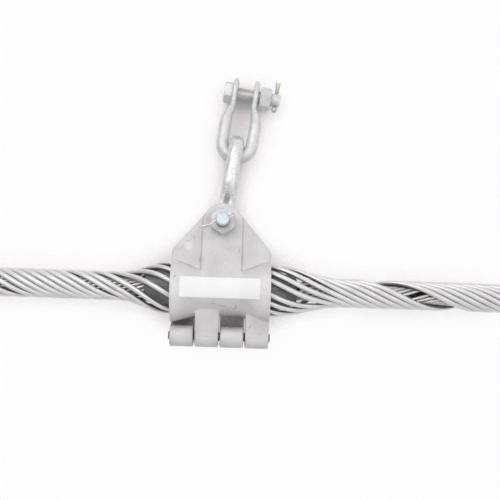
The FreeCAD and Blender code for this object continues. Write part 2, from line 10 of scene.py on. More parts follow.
import bmesh
import bpy
from mathutils import Euler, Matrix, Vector


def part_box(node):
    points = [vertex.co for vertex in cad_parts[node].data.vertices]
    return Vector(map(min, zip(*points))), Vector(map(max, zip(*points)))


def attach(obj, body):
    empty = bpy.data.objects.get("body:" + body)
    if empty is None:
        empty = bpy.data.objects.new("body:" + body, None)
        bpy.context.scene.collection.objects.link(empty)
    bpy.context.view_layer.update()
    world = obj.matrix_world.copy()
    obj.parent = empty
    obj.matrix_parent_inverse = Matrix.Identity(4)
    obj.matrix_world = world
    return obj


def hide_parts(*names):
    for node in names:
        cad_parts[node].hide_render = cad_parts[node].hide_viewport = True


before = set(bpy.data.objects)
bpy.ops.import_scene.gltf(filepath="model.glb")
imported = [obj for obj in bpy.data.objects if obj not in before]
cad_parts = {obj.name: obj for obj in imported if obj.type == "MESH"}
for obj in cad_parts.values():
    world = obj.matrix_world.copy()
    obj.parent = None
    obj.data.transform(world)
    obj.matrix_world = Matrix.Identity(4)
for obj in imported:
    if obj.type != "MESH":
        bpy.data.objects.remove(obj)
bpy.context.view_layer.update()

scene = bpy.context.scene
MM = 0.001

# %% [markdown]
# The photograph looks almost straight at the front, a little from below, and the clamp leans slightly to
# the right. The camera takes that place. Its turn about the line of sight gives the lean, so the clamp
# itself stays upright.

# %% Camera
camera_data = bpy.data.cameras.new("camera")
camera = bpy.data.objects.new("camera", camera_data)
scene.collection.objects.link(camera)
camera.location = (0.0142, -0.8043, -0.0280)
camera.rotation_euler = Euler((math.radians(95.45), math.radians(-1.89), math.radians(-1.57)))
camera_data.lens = 47.78
camera_data.sensor_width = 36
scene.camera = camera
scene.view_settings.view_transform = "Standard"
print("camera stands", round(-camera.location.y, 3), "m in front of the cable")

# %% [markdown]
# Every finish starts the same way, as a material whose node tree is empty, so a small helper makes it.

# %% Start a material


def node_tree(name):
    """A new material with an empty node tree."""
    material = bpy.data.materials.new(name)
    material.use_nodes = True
    material.node_tree.nodes.clear()
    return material, material.node_tree.nodes, material.node_tree.links


print("materials at the start:", len(bpy.data.materials))

# %% [markdown]
# The clamp was photographed lying on a white table. A camera sees the table only where something is near
# it, as a soft shadow, and elsewhere looks through it to the white surroundings. Shiny pieces mirror a
# plain white there. From behind it is clear, so that views from the back are free.

# %% Finish of the white table
SURROUNDINGS = (1, 0.99, 0.993, 1)

table_paint, nodes, links = node_tree("white table")
paper = nodes.new("ShaderNodeBsdfDiffuse")
paper.inputs["Color"].default_value = (0.84, 0.79, 0.79, 1)
glow = nodes.new("ShaderNodeEmission")
glow.inputs["Color"].default_value = SURROUNDINGS
glow.inputs["Strength"].default_value = 1.0
clear = nodes.new("ShaderNodeBsdfTransparent")
path = nodes.new("ShaderNodeLightPath")
nearness = nodes.new("ShaderNodeAmbientOcclusion")
nearness.samples = 16
nearness.inputs["Distance"].default_value = 0.05
openness = nodes.new("ShaderNodeMapRange")
openness.inputs["From Min"].default_value = 0.3
openness.inputs["From Max"].default_value = 0.86
openness.inputs["To Max"].default_value = 0.97
mirrored = nodes.new("ShaderNodeMath")
mirrored.operation = "MULTIPLY"
seen = nodes.new("ShaderNodeMath")
seen.operation = "MULTIPLY"
lit = nodes.new("ShaderNodeMixShader")
front = nodes.new("ShaderNodeMixShader")
facing = nodes.new("ShaderNodeNewGeometry")
sides = nodes.new("ShaderNodeMixShader")
out = nodes.new("ShaderNodeOutputMaterial")
links.new(nearness.outputs["AO"], openness.inputs["Value"])
for ray, share in (("Is Glossy Ray", mirrored), ("Is Camera Ray", seen)):
    links.new(path.outputs[ray], share.inputs[0])
    links.new(openness.outputs["Result"], share.inputs[1])
links.new(mirrored.outputs[0], lit.inputs["Fac"])
links.new(paper.outputs[0], lit.inputs[1])
links.new(glow.outputs[0], lit.inputs[2])
links.new(seen.outputs[0], front.inputs["Fac"])
links.new(lit.outputs[0], front.inputs[1])
links.new(clear.outputs[0], front.inputs[2])
links.new(facing.outputs["Backfacing"], sides.inputs["Fac"])
links.new(front.outputs[0], sides.inputs[1])
links.new(clear.outputs[0], sides.inputs[2])
links.new(sides.outputs[0], out.inputs["Surface"])
print("finish:", table_paint.name)

# %% [markdown]
# The barrel and the end of the chain lie almost on the table. They are of unequal depth, so the table
# stands behind the clamp and leans by the few degrees that these two give.

# %% White table behind the clamp
TABLE_Y = 0.0432
TABLE_TILT = 5.7

bpy.ops.object.select_all(action="DESELECT")
bpy.ops.mesh.primitive_plane_add(size=6, location=(0, TABLE_Y, 0),
                                 rotation=(math.radians(90 + TABLE_TILT), 0, 0))
table = bpy.context.object
table.name = "white_table"
table.data.materials.append(table_paint)
print("table at y =", TABLE_Y, "m, leaning", TABLE_TILT, "degrees")

# %% [markdown]
# The light in the photograph is soft, and the left edges of the shackles are dark. A light from all round
# that is weaker on the left gives both, with a smooth change of strength along X. The camera itself sees
# plain white.

# %% Soft light all round
DARK_SIDE = 0.12
BRIGHT_SIDE = 0.68

world = bpy.data.worlds.new("studio")
scene.world = world
world.use_nodes = True
nodes, links = world.node_tree.nodes, world.node_tree.links
sky = nodes["Background"]
sky.inputs["Color"].default_value = (1, 1, 1, 1)
place = nodes.new("ShaderNodeTexCoord")
split = nodes.new("ShaderNodeSeparateXYZ")
wall = nodes.new("ShaderNodeMapRange")
wall.interpolation_type = "SMOOTHSTEP"
wall.inputs["From Min"].default_value = -0.95
wall.inputs["From Max"].default_value = -0.25
wall.inputs["To Min"].default_value = DARK_SIDE
wall.inputs["To Max"].default_value = BRIGHT_SIDE
links.new(place.outputs["Generated"], split.inputs[0])
links.new(split.outputs["X"], wall.inputs["Value"])
links.new(wall.outputs["Result"], sky.inputs["Strength"])
backdrop = nodes.new("ShaderNodeBackground")
backdrop.inputs["Color"].default_value = SURROUNDINGS
backdrop.inputs["Strength"].default_value = 1.0
path = nodes.new("ShaderNodeLightPath")
either = nodes.new("ShaderNodeMixShader")
links.new(path.outputs["Is Camera Ray"], either.inputs["Fac"])
links.new(sky.outputs[0], either.inputs[1])
links.new(backdrop.outputs[0], either.inputs[2])
links.new(either.outputs[0], nodes["World Output"].inputs["Surface"])
print("light all round:", DARK_SIDE, "to", BRIGHT_SIDE)

# %% [markdown]
# Two large lamps shape the round pieces: a stronger one from the upper left and a weak one from the right,
# which keeps the shadows light.

# %% Two soft lamps


def softbox(name, place, target, size, power):
    """A square lamp that faces the target."""
    lamp_data = bpy.data.lights.new(name, "AREA")
    lamp_data.shape = "RECTANGLE"
    lamp_data.size = size[0]
    lamp_data.size_y = size[1]
    lamp_data.energy = power
    lamp = bpy.data.objects.new(name, lamp_data)
    scene.collection.objects.link(lamp)
    lamp.location = place
    lamp.rotation_euler = (Vector(target) - Vector(place)).to_track_quat("-Z", "Y").to_euler()
    return lamp


softbox("key", (-0.75, -1.8, 0.8), (0, 0, 0.05), (1.8, 1.2), 19)
softbox("fill", (1.0, -1.6, 0.2), (0, 0, 0.05), (1.2, 1.2), 5)

# %% [markdown]
# Several finishes share an effect, so each effect is built once as a node group with named inputs and
# outputs.

# %% Start an effect


def new_group(name, inputs, outputs):
    """A shader node group with named number inputs and named outputs."""
    group = bpy.data.node_groups.new(name, "ShaderNodeTree")
    for label, value in inputs:
        socket = group.interface.new_socket(label, in_out="INPUT", socket_type="NodeSocketFloat")
        socket.default_value = value
    for label, kind in outputs:
        group.interface.new_socket(label, in_out="OUTPUT", socket_type=kind)
    start = group.nodes.new("NodeGroupInput")
    end = group.nodes.new("NodeGroupOutput")
    return group, start, end


print("effects at the start:", len(bpy.data.node_groups))

# %% [markdown]
# Castings, rubber, wires and paper all have a fine skin: broad blotches in the tone, and fine grain in the
# relief. Two layers of noise give them, and each finish chooses its own scale.

# %% Skin with blotches and grain


def mottle_group(name, blotch_scale, grain_scale):
    """Blotches and fine grain on object coordinates: a tone from 0 to 1 and a height."""
    group, start, end = new_group(name, [("Blotch", blotch_scale), ("Grain", grain_scale)],
                                  [("Tone", "NodeSocketFloat"), ("Height", "NodeSocketFloat")])
    nodes, links = group.nodes, group.links
    place = nodes.new("ShaderNodeTexCoord")
    blotch = nodes.new("ShaderNodeTexNoise")
    blotch.inputs["Detail"].default_value = 5
    blotch.inputs["Roughness"].default_value = 0.62
    grain = nodes.new("ShaderNodeTexNoise")
    grain.inputs["Detail"].default_value = 3
    links.new(place.outputs["Object"], blotch.inputs["Vector"])
    links.new(place.outputs["Object"], grain.inputs["Vector"])
    links.new(start.outputs["Blotch"], blotch.inputs["Scale"])
    links.new(start.outputs["Grain"], grain.inputs["Scale"])
    tone = nodes.new("ShaderNodeMath")
    tone.operation = "MULTIPLY_ADD"
    tone.inputs[1].default_value = 0.3
    links.new(grain.outputs["Fac"], tone.inputs[0])
    share = nodes.new("ShaderNodeMath")
    share.operation = "MULTIPLY"
    share.inputs[1].default_value = 0.7
    links.new(blotch.outputs["Fac"], share.inputs[0])
    links.new(share.outputs[0], tone.inputs[2])
    links.new(tone.outputs[0], end.inputs["Tone"])
    links.new(grain.outputs["Fac"], end.inputs["Height"])
    return group


skin_group = mottle_group("casting skin", 38, 900)
print("effect:", skin_group.name)

# %% [markdown]
# Hot-dip zinc freezes into small frosty crystals and dulls in clouds. Soft cells stand for the crystals and
# noise for the clouds.

# %% Zinc mottling


def zinc_group():
    """Cells of frosty zinc over cloudy patches: a tone and a height."""
    group, start, end = new_group("zinc mottling", [("Cells", 420), ("Clouds", 60)],
                                  [("Tone", "NodeSocketFloat"), ("Height", "NodeSocketFloat")])
    nodes, links = group.nodes, group.links
    place = nodes.new("ShaderNodeTexCoord")
    cells = nodes.new("ShaderNodeTexVoronoi")
    cells.feature = "SMOOTH_F1"
    cells.inputs["Smoothness"].default_value = 0.6
    clouds = nodes.new("ShaderNodeTexNoise")
    clouds.inputs["Detail"].default_value = 6
    clouds.inputs["Roughness"].default_value = 0.7
    links.new(place.outputs["Object"], cells.inputs["Vector"])
    links.new(place.outputs["Object"], clouds.inputs["Vector"])
    links.new(start.outputs["Cells"], cells.inputs["Scale"])
    links.new(start.outputs["Clouds"], clouds.inputs["Scale"])
    mix = nodes.new("ShaderNodeMath")
    mix.operation = "MULTIPLY_ADD"
    mix.inputs[1].default_value = 0.3
    half = nodes.new("ShaderNodeMath")
    half.operation = "MULTIPLY"
    half.inputs[1].default_value = 0.78
    links.new(clouds.outputs["Fac"], half.inputs[0])
    links.new(cells.outputs["Distance"], mix.inputs[0])
    links.new(half.outputs[0], mix.inputs[2])
    links.new(mix.outputs[0], end.inputs["Tone"])
    links.new(mix.outputs[0], end.inputs["Height"])
    return group


zinc = zinc_group()
print("effect:", zinc.name)

# %% [markdown]
# Corners of a casting are darkened as painted shade, and its edges are rubbed bright. The pointiness of the
# surface tells both apart.

# %% Creases and worn edges


def edge_group():
    """Two masks from the shape: how far a spot lies in a crease, and how far it stands on an edge."""
    group, start, end = new_group("creases and edges", [("Reach", 0.05)],
                                  [("Crease", "NodeSocketFloat"), ("Edge", "NodeSocketFloat")])
    nodes, links = group.nodes, group.links
    shape = nodes.new("ShaderNodeNewGeometry")
    for label, sign, margin in (("Crease", -1, 0.03), ("Edge", 1, 0.07)):
        away = nodes.new("ShaderNodeMath")
        away.operation = "SUBTRACT"
        away.inputs[0 if sign < 0 else 1].default_value = 0.5 + sign * margin
        links.new(shape.outputs["Pointiness"], away.inputs[1 if sign < 0 else 0])
        share = nodes.new("ShaderNodeMath")
        share.operation = "DIVIDE"
        share.use_clamp = True
        links.new(away.outputs[0], share.inputs[0])
        links.new(start.outputs["Reach"], share.inputs[1])
        links.new(share.outputs[0], end.inputs[label])
    return group


edges = edge_group()
print("effect:", edges.name)

# %% [markdown]
# Some marks belong to one place only: a scuff, a rubbed spot, grime in a corner. Each is a ragged ball
# round a point of the object, so it stays where it is from any side.

# %% Spots at one place


def spots_group(name, spots):
    """A mask of soft ragged patches, each given by its middle, its half sizes in mm and its turn about Y."""
    group, start, end = new_group(name, [("Ragged", 900)], [("Mask", "NodeSocketFloat")])
    nodes, links = group.nodes, group.links
    place = nodes.new("ShaderNodeTexCoord")
    ragged = nodes.new("ShaderNodeTexNoise")
    links.new(place.outputs["Object"], ragged.inputs["Vector"])
    links.new(start.outputs["Ragged"], ragged.inputs["Scale"])
    wobble = nodes.new("ShaderNodeTexNoise")
    wobble.inputs["Scale"].default_value = 260
    links.new(place.outputs["Object"], wobble.inputs["Vector"])
    bent = nodes.new("ShaderNodeVectorMath")
    bent.operation = "MULTIPLY_ADD"
    bent.inputs[1].default_value = (0.003, 0.003, 0.003)
    links.new(wobble.outputs["Color"], bent.inputs[0])
    links.new(place.outputs["Object"], bent.inputs[2])
    total = None
    for middle, halves, turn in spots:
        local = nodes.new("ShaderNodeMapping")
        local.vector_type = "TEXTURE"
        local.inputs["Location"].default_value = (Vector(middle) + Vector((1.5, 1.5, 1.5))) * MM
        local.inputs["Rotation"].default_value = (0, math.radians(turn), 0)
        local.inputs["Scale"].default_value = Vector(halves) * MM
        ball = nodes.new("ShaderNodeTexGradient")
        ball.gradient_type = "SPHERICAL"
        links.new(bent.outputs[0], local.inputs["Vector"])
        links.new(local.outputs[0], ball.inputs["Vector"])
        if total is None:
            total = ball.outputs["Fac"]
        else:
            both = nodes.new("ShaderNodeMath")
            both.operation = "MAXIMUM"
            links.new(total, both.inputs[0])
            links.new(ball.outputs["Fac"], both.inputs[1])
            total = both.outputs[0]
    rough = nodes.new("ShaderNodeMath")
    rough.operation = "MULTIPLY"
    crisp = nodes.new("ShaderNodeMapRange")
    crisp.inputs["From Min"].default_value = 0.1
    crisp.inputs["From Max"].default_value = 0.35
    links.new(total, rough.inputs[0])
    links.new(ragged.outputs["Fac"], rough.inputs[1])
    links.new(rough.outputs[0], crisp.inputs["Value"])
    links.new(crisp.outputs["Result"], end.inputs["Mask"])
    return group


print("spots are given in mm from the middle of the housing")

# %% [markdown]
# The front of the casting has dark scuffs and a few bright spots. The scuffs are short strokes at different
# turns, so each is a ball that is long one way and thin the other.

# %% Scuffs and bright spots
scuffs = spots_group("scuffs on the casting", [
    ((-53, -38, 12), (1.1, 12, 4.0), 15), ((19, -23, -21), (0.9, 12, 4.5), -12),
    ((16, -23, -23), (3.5, 12, 0.8), 10), ((3, -24, -20), (9, 12, 0.8), 6),
    ((-8, -24, -18), (6, 12, 0.7), -3), ((10, -24, -24), (5, 12, 0.7), 8),
    ((36, -16, -44), (0.8, 12, 5.0), 25), ((48, -12, -52), (6, 12, 0.7), -25),
    ((-50, -22, -36), (3.0, 12, 0.8), 20), ((-41, -24, 55), (4.0, 9, 0.7), -20),
    ((-47, -24, 47), (0.7, 9, 3.5), 20), ((-26, -24, 33), (0.8, 9, 5.0), 15),
    ((20, -28, 44), (0.6, 9, 5.0), 8), ((-33, -24, 60), (3.0, 9, 0.6), 40)])
worn_spots = spots_group("bright spots on the casting", [
    ((-39, -24, 48.5), (7.5, 6, 7.5), 0), ((-20, -26, -38), (12, 8, 3.0), 0),
    ((-9, -30, -36), (7, 9, 1.6), 20)])
print("effects:", scuffs.name, "and", worn_spots.name)

# %% [markdown]
# Shade is painted where little light reaches: between the hinge arms and in the gaps between the rolls, and a
# painted shadow lies along the foot of the ears.

# %% Painted shade in sheltered places
painted_shade_between_arms = spots_group("painted shade between the hinge arms", [
    ((-46, 5, -43), (26, 24, 13), 0), ((14, 5, -44), (34, 24, 15), 0), ((46, 14, -44), (24, 14, 14), 0),
    ((-29.9, -4, -56), (2.4, 26, 24), 0), ((0.0, -4, -56), (2.4, 26, 24), 0),
    ((29.9, -4, -56), (2.4, 26, 24), 0)])
painted_shadow_under_ears = spots_group("painted shadow under the ear", [
    ((-41, -24, 27.0), (24, 9, 2.2), 20.5), ((41, -24, 27.0), (24, 9, 2.2), -20.5)])
print("effects:", painted_shade_between_arms.name, "and", painted_shadow_under_ears.name)

# %% [markdown]
# The arms look lighter than the rest of the casting, and light catches the flared mouths of the barrel, so
# large soft spots lie on both: a lighter tone on the arms and painted light on the mouths.

# %% Lighter arms and painted light at the mouths
handled = spots_group("lighter skin of the arms", [
    ((-45, -14, -60), (18, 14, 22), 0), ((-15, -14, -60), (17, 14, 22), 0), ((15, -14, -60), (17, 14, 22), 0),
    ((45, -14, -60), (17, 14, 22), 0)])
painted_light_at_mouths = spots_group("painted light at the mouths of the barrel", [
    ((-54, -28, -4), (24, 30, 44), 0), ((54, -28, -4), (26, 30, 44), 0)])
print("effects:", handled.name, "and", painted_light_at_mouths.name)

# %% [markdown]
# A finish takes the tone of its effect for the colour and the gloss, and its height for the relief. On the
# metals the lighter parts are also the smoother ones. On the rubber it is the other way round.

# %% A finish made from an effect


def finish(name, effect, values, dark, light, metallic, rough, bump, band=(0.3, 0.7)):
    """A Principled material whose colour, roughness and bump follow the tone and height of an effect."""
    material, nodes, links = node_tree(name)
    shader = nodes.new("ShaderNodeBsdfPrincipled")
    out = nodes.new("ShaderNodeOutputMaterial")
    links.new(shader.outputs[0], out.inputs["Surface"])
    shader.inputs["Metallic"].default_value = metallic
    source = nodes.new("ShaderNodeGroup")
    source.node_tree = effect
    for label, value in values.items():
        source.inputs[label].default_value = value
    ramp = nodes.new("ShaderNodeValToRGB")
    ramp.color_ramp.elements[0].position = band[0]
    ramp.color_ramp.elements[0].color = (*dark, 1)
    ramp.color_ramp.elements[1].position = band[1]
    ramp.color_ramp.elements[1].color = (*light, 1)
    links.new(source.outputs["Tone"], ramp.inputs["Fac"])
    links.new(ramp.outputs["Color"], shader.inputs["Base Color"])
    gloss = nodes.new("ShaderNodeMapRange")
    gloss.inputs["From Min"].default_value = band[0]
    gloss.inputs["From Max"].default_value = band[1]
    gloss.inputs["To Min"].default_value = rough[0]
    gloss.inputs["To Max"].default_value = rough[1]
    links.new(source.outputs["Tone"], gloss.inputs["Value"])
    links.new(gloss.outputs["Result"], shader.inputs["Roughness"])
    relief = nodes.new("ShaderNodeBump")
    relief.inputs["Strength"].default_value = bump[0]
    relief.inputs["Distance"].default_value = bump[1]
    links.new(source.outputs["Height"], relief.inputs["Height"])
    links.new(relief.outputs["Normal"], shader.inputs["Normal"])
    return material


print("a finish has a dark and a light colour, and a roughness for each")

# %% [markdown]
# Dirt and wear lie over a finish. A mask says where, and the colour is mixed over what is there already, so
# marks can be laid one over another.

# %% A tint over a finish


def tinted(material, mask, colour, strength):
    """Mix a colour over the base colour of a finish, where a mask says."""
    nodes, links = material.node_tree.nodes, material.node_tree.links
    shader = next(node for node in nodes if node.type == "BSDF_PRINCIPLED")
    before = shader.inputs["Base Color"].links[0].from_socket
    weight = nodes.new("ShaderNodeMath")
    weight.operation = "MULTIPLY"
    weight.inputs[1].default_value = strength
    links.new(mask, weight.inputs[0])
    mix = nodes.new("ShaderNodeMix")
    mix.data_type = "RGBA"
    mix.inputs[7].default_value = (*colour, 1)
    links.new(weight.outputs[0], mix.inputs[0])
    links.new(before, mix.inputs[6])
    links.new(mix.outputs[2], shader.inputs["Base Color"])


def effect_in(material, group):
    """Place an effect in a material and give back its node."""
    node = material.node_tree.nodes.new("ShaderNodeGroup")
    node.node_tree = group
    return node


print("tints are laid one over another")

# %% [markdown]
# The housing is cast aluminium alloy, dull and slightly warm. The lighter arms, the painted light at the
# mouths of the barrel and the wear come first, then painted shade in the creases, between the hinge arms and
# under the ears, and the scuffs lie on top.

# %% Cast alloy
cast_alloy = finish("cast alloy", skin_group, {"Blotch": 38, "Grain": 900},
                    (0.565, 0.546, 0.553), (0.685, 0.666, 0.67), 0.1, (0.58, 0.46), (0.25, 0.0004),
                    (0.37, 0.63))
shaped = effect_in(cast_alloy, edges)
tinted(cast_alloy, effect_in(cast_alloy, handled).outputs["Mask"], (0.78, 0.765, 0.77), 0.35)
# Painted light on the flared mouths of the barrel.
tinted(cast_alloy, effect_in(cast_alloy, painted_light_at_mouths).outputs["Mask"], (0.88, 0.865, 0.87), 0.6)
tinted(cast_alloy, effect_in(cast_alloy, worn_spots).outputs["Mask"], (0.80, 0.79, 0.80), 0.6)
tinted(cast_alloy, shaped.outputs["Edge"], (0.80, 0.79, 0.795), 0.4)
# Painted shade: the creases of the casting are darkened.
tinted(cast_alloy, shaped.outputs["Crease"], (0.20, 0.19, 0.19), 0.75)
# Painted shade between the hinge arms and in the gaps between the rolls.
tinted(cast_alloy, effect_in(cast_alloy, painted_shade_between_arms).outputs["Mask"], (0.15, 0.143, 0.147), 0.9)
# Painted shadow along the foot of the ears.
tinted(cast_alloy, effect_in(cast_alloy, painted_shadow_under_ears).outputs["Mask"], (0.30, 0.29, 0.29), 0.4)
tinted(cast_alloy, effect_in(cast_alloy, scuffs).outputs["Mask"], (0.22, 0.21, 0.21), 0.7)
print("finish:", cast_alloy.name)

# %% [markdown]
# The shackles are galvanised steel. The upper one is even in tone, and the lower one is brighter, with
# painted shade on its ears and crown and at its neck.

# %% Zinc on the shackles
galvanised = finish("galvanised steel", zinc, {"Cells": 650, "Clouds": 110},
                    (0.57, 0.573, 0.58), (0.75, 0.753, 0.76), 0.3, (0.60, 0.50), (0.16, 0.0005), (0.36, 0.62))
lower_zinc = finish("fresh zinc", zinc, {"Cells": 560, "Clouds": 130},
                    (0.55, 0.553, 0.56), (0.83, 0.833, 0.84), 0.4, (0.52, 0.42), (0.2, 0.0006), (0.37, 0.61))
ear_shade = spots_group("painted shade on the ears and crown of the lower shackle", [
    ((1.6, -14, 92), (26, 20, 16), 7.5), ((13.0, -10, 184), (14, 16, 9), 0)])
# Painted shade on the ears, low between the ears of the housing, and on the crown inside the upper bow.
tinted(lower_zinc, effect_in(lower_zinc, ear_shade).outputs["Mask"], (0.40, 0.39, 0.385), 0.7)
painted_neck_shade = spots_group("painted shade in the neck of the lower shackle", [((3.2, -14, 105), (6, 20, 19), 7.5)])
# Painted shade in the hollow of the neck.
tinted(lower_zinc, effect_in(lower_zinc, painted_neck_shade).outputs["Mask"], (0.16, 0.155, 0.15), 0.8)
print("finishes:", galvanised.name, "and", lower_zinc.name)

# %% [markdown]
# The bolts have zinc of their own: dull on the shank of the tower bolt, and bluish and bright on the clamp
# bolt. A part of the clamp bolt's thread is painted dark as shade.

# %% Zinc on the bolts
dull_zinc = finish("dull zinc", zinc, {"Cells": 600, "Clouds": 90},
                   (0.34, 0.33, 0.31), (0.58, 0.565, 0.54), 0.6, (0.5, 0.4), (0.15, 0.0004))
shade_painted_thread = finish("thread painted dark for shade", zinc, {"Cells": 600, "Clouds": 90},
                     (0.10, 0.10, 0.105), (0.30, 0.305, 0.31), 0.6, (0.5, 0.4), (0.15, 0.0004))
bright_zinc = finish("bright zinc", zinc, {"Cells": 500, "Clouds": 90},
                     (0.44, 0.50, 0.58), (0.64, 0.70, 0.77), 0.35, (0.5, 0.4), (0.2, 0.0004))
print("finishes:", dull_zinc.name + ",", shade_painted_thread.name, "and", bright_zinc.name)

# %% [markdown]
# The wound rods are drawn alloy wire. The inner layer lies in the shade of the outer one and is painted
# darker. Of the split pins one is brownish and one pale. The rubber is dark grey, the hinge pin is dark
# steel, and the sticker is white paper.

# %% Rods, rubber, wire and paper
outer_alloy = finish("outer rod alloy", skin_group, {"Blotch": 60, "Grain": 700},
                     (0.68, 0.67, 0.67), (0.84, 0.83, 0.83), 0.45, (0.42, 0.34), (0.08, 0.0002))
# Painted shade: the inner rods are coloured darker than the outer ones, which lie over them.
shaded_inner_alloy = finish("inner rod alloy with painted shade", skin_group, {"Blotch": 70, "Grain": 700},
                     (0.52, 0.505, 0.49), (0.72, 0.705, 0.69), 0.9, (0.42, 0.32), (0.08, 0.0002))
rubber = finish("moulded rubber", skin_group, {"Blotch": 60, "Grain": 1400},
                (0.10, 0.098, 0.10), (0.23, 0.226, 0.228), 0.0, (0.42, 0.55), (0.3, 0.0002), (0.38, 0.64))
cotter_wire = finish("cotter wire", skin_group, {"Blotch": 160, "Grain": 900},
                     (0.22, 0.20, 0.14), (0.54, 0.50, 0.38), 1.0, (0.36, 0.27), (0.1, 0.0002))
pale_wire = finish("pale split pin wire", skin_group, {"Blotch": 160, "Grain": 900},
                   (0.50, 0.47, 0.43), (0.80, 0.77, 0.72), 0.9, (0.36, 0.27), (0.1, 0.0002))
pin_steel = finish("pin steel", skin_group, {"Blotch": 90, "Grain": 800},
                   (0.09, 0.088, 0.088), (0.20, 0.197, 0.195), 0.8, (0.5, 0.4), (0.15, 0.0003))
sticker_paper = finish("sticker paper", skin_group, {"Blotch": 25, "Grain": 500},
                       (0.86, 0.855, 0.86), (0.92, 0.916, 0.92), 0.0, (0.6, 0.5), (0.12, 0.0006))
print("finishes:", [m.name for m in bpy.data.materials if m.node_tree])

# %% [markdown]
# The pieces are made as by hand: select, change, apply. These small tools select, apply modifiers and cut
# one piece with another.

# %% Select and cut


def only(*objects):
    """Select just these objects, the last one active."""
    if bpy.context.object and bpy.context.object.mode != "OBJECT":
        bpy.ops.object.mode_set(mode="OBJECT")
    bpy.ops.object.select_all(action="DESELECT")
    for item in objects:
        item.select_set(True)
        bpy.context.view_layer.objects.active = item


def apply_all(piece):
    """Apply the modifiers of a piece in their order."""
    only(piece)
    for modifier in list(piece.modifiers):
        bpy.ops.object.modifier_apply(modifier=modifier.name)
    return piece


def cut(piece, tool, operation="DIFFERENCE"):
    """Boolean with another object, which is used up."""
    modifier = piece.modifiers.new("cut", "BOOLEAN")
    modifier.object = tool
    modifier.operation = operation
    modifier.solver = "EXACT"
    apply_all(piece)
    bpy.data.objects.remove(tool)
    return piece


print("tools for cutting are ready")

# %% [markdown]
# Each finished piece is named, smoothed and painted. Then it rides on its body and stands for its measured
# piece.

# %% Dress a piece


def dressed(piece, name, material, body, stands_for, angle=35):
    """Name a finished piece, smooth and paint it, and hang it on its body in place of its CAD nodes."""
    only(piece)
    bpy.ops.object.transform_apply(location=True, rotation=True, scale=True)
    bpy.ops.object.shade_smooth_by_angle(angle=math.radians(angle))
    piece.name = name
    piece.data.name = name
    piece.data.materials.clear()
    piece.data.materials.append(material)
    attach(piece, body)
    if stands_for:
        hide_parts(*stands_for)
    return piece


print("pieces are dressed one by one")

# %% [markdown]
# Round pieces are turned: a profile of points is spun about an axis, as on a lathe.

# %% Turn on a lathe


def turned(name, profile, centre, axis, outward, steps=48, angle=2 * math.pi):
    """Spin a profile of (along, radius) points about an axis, as on a lathe."""
    along = Vector(axis).normalized()
    side = Vector(outward).normalized()
    points = [Vector(centre) + along * a + side * r for a, r in profile]
    mesh = bpy.data.meshes.new(name)
    mesh.from_pydata(points, [(i, i + 1) for i in range(len(points) - 1)], [])
    piece = bpy.data.objects.new(name, mesh)
    scene.collection.objects.link(piece)
    only(piece)
    bpy.ops.object.mode_set(mode="EDIT")
    bpy.ops.mesh.select_all(action="SELECT")
    bpy.ops.mesh.spin(steps=steps, angle=angle, center=centre, axis=along)
    bpy.ops.mesh.select_all(action="SELECT")
    bpy.ops.mesh.remove_doubles(threshold=1e-6)
    bpy.ops.mesh.normals_make_consistent(inside=False)
    bpy.ops.object.mode_set(mode="OBJECT")
    return piece


print("lathe ready")

# %% [markdown]
# Forged bars change their section along their length, so they are extruded from ring to ring, and each new
# ring is moved into its place.

# %% Extrude ring by ring


def extruded_rings(name, rings):
    """Start from a circle and extrude it from ring to ring, closing both ends."""
    bpy.ops.object.select_all(action="DESELECT")
    bpy.ops.mesh.primitive_circle_add(vertices=len(rings[0]), radius=0.01)
    piece = bpy.context.object
    piece.name = name
    bpy.ops.object.mode_set(mode="EDIT")
    bpy.ops.mesh.select_all(action="SELECT")
    for number, ring in enumerate(rings):
        if number:
            bpy.ops.mesh.extrude_region_move()
        grid = bmesh.from_edit_mesh(piece.data)
        grid.verts.ensure_lookup_table()
        fresh = [v for v in grid.verts if v.select]
        fresh.sort(key=lambda v: v.index)
        for vertex, place in zip(fresh, ring):
            vertex.co = place
        bmesh.update_edit_mesh(piece.data)
    bpy.ops.mesh.edge_face_add()
    grid = bmesh.from_edit_mesh(piece.data)
    for edge in grid.edges:
        edge.select = edge.is_boundary
    bpy.ops.mesh.select_mode(type="EDGE")
    bpy.ops.mesh.edge_face_add()
    bpy.ops.mesh.select_mode(type="VERT")
    bpy.ops.mesh.select_all(action="SELECT")
    bpy.ops.mesh.normals_make_consistent(inside=False)
    bpy.ops.object.mode_set(mode="OBJECT")
    return piece


print("ring tool ready")

# %% [markdown]
# The rods are hard drawn wires, wound by hand. The inner ones run left-handed round the cable. The outer
# ones run right-handed and swell out over the rubber. All sizes here are in mm, and angles in degrees.

# %% Sizes of the rods
CABLE_RADIUS = 6.3
INNER_ROD = 2.25
OUTER_ROD = 3.1
GAP = 0.3
INNER_RING = CABLE_RADIUS + INNER_ROD + GAP / 2
OUTER_RING = INNER_RING + INNER_ROD + OUTER_ROD + 1.5 * GAP
PEAK_X = 62.0
PEAK = 28.6
WAIST = 20.4
LEFT_END = 122.0
RIGHT_END = 146.0
OUTER_COUNT = 11
INNER_COUNT = 10
print("outer ring radius", round(OUTER_RING, 2), "mm")

# %% [markdown]
# Two helpers serve every route: a smooth change from one value to another, and a point at an angle round
# the cable.

# %% Smooth change and turn


def ease(start, end, share):
    """Smooth change from start to end as the share runs from 0 to 1."""
    share = min(max(share, 0.0), 1.0)
    return start + (end - start) * (0.5 - 0.5 * math.cos(math.pi * share))


def around(angle, radius):
    """Point across the cable, from the front (-Y) upwards by the angle in degrees."""
    turn = math.radians(angle)
    return Vector((0, -math.cos(turn), math.sin(turn))) * radius


print("half way from 0 to 1:", round(ease(0, 1, 0.5), 2))

# %% [markdown]
# Along the cable an outer rod starts on the closed ring, rises to a peak near each mouth of the barrel and
# dips to a waist in the middle. Its turn follows from the lay: the further out it lies, the slower it
# turns.

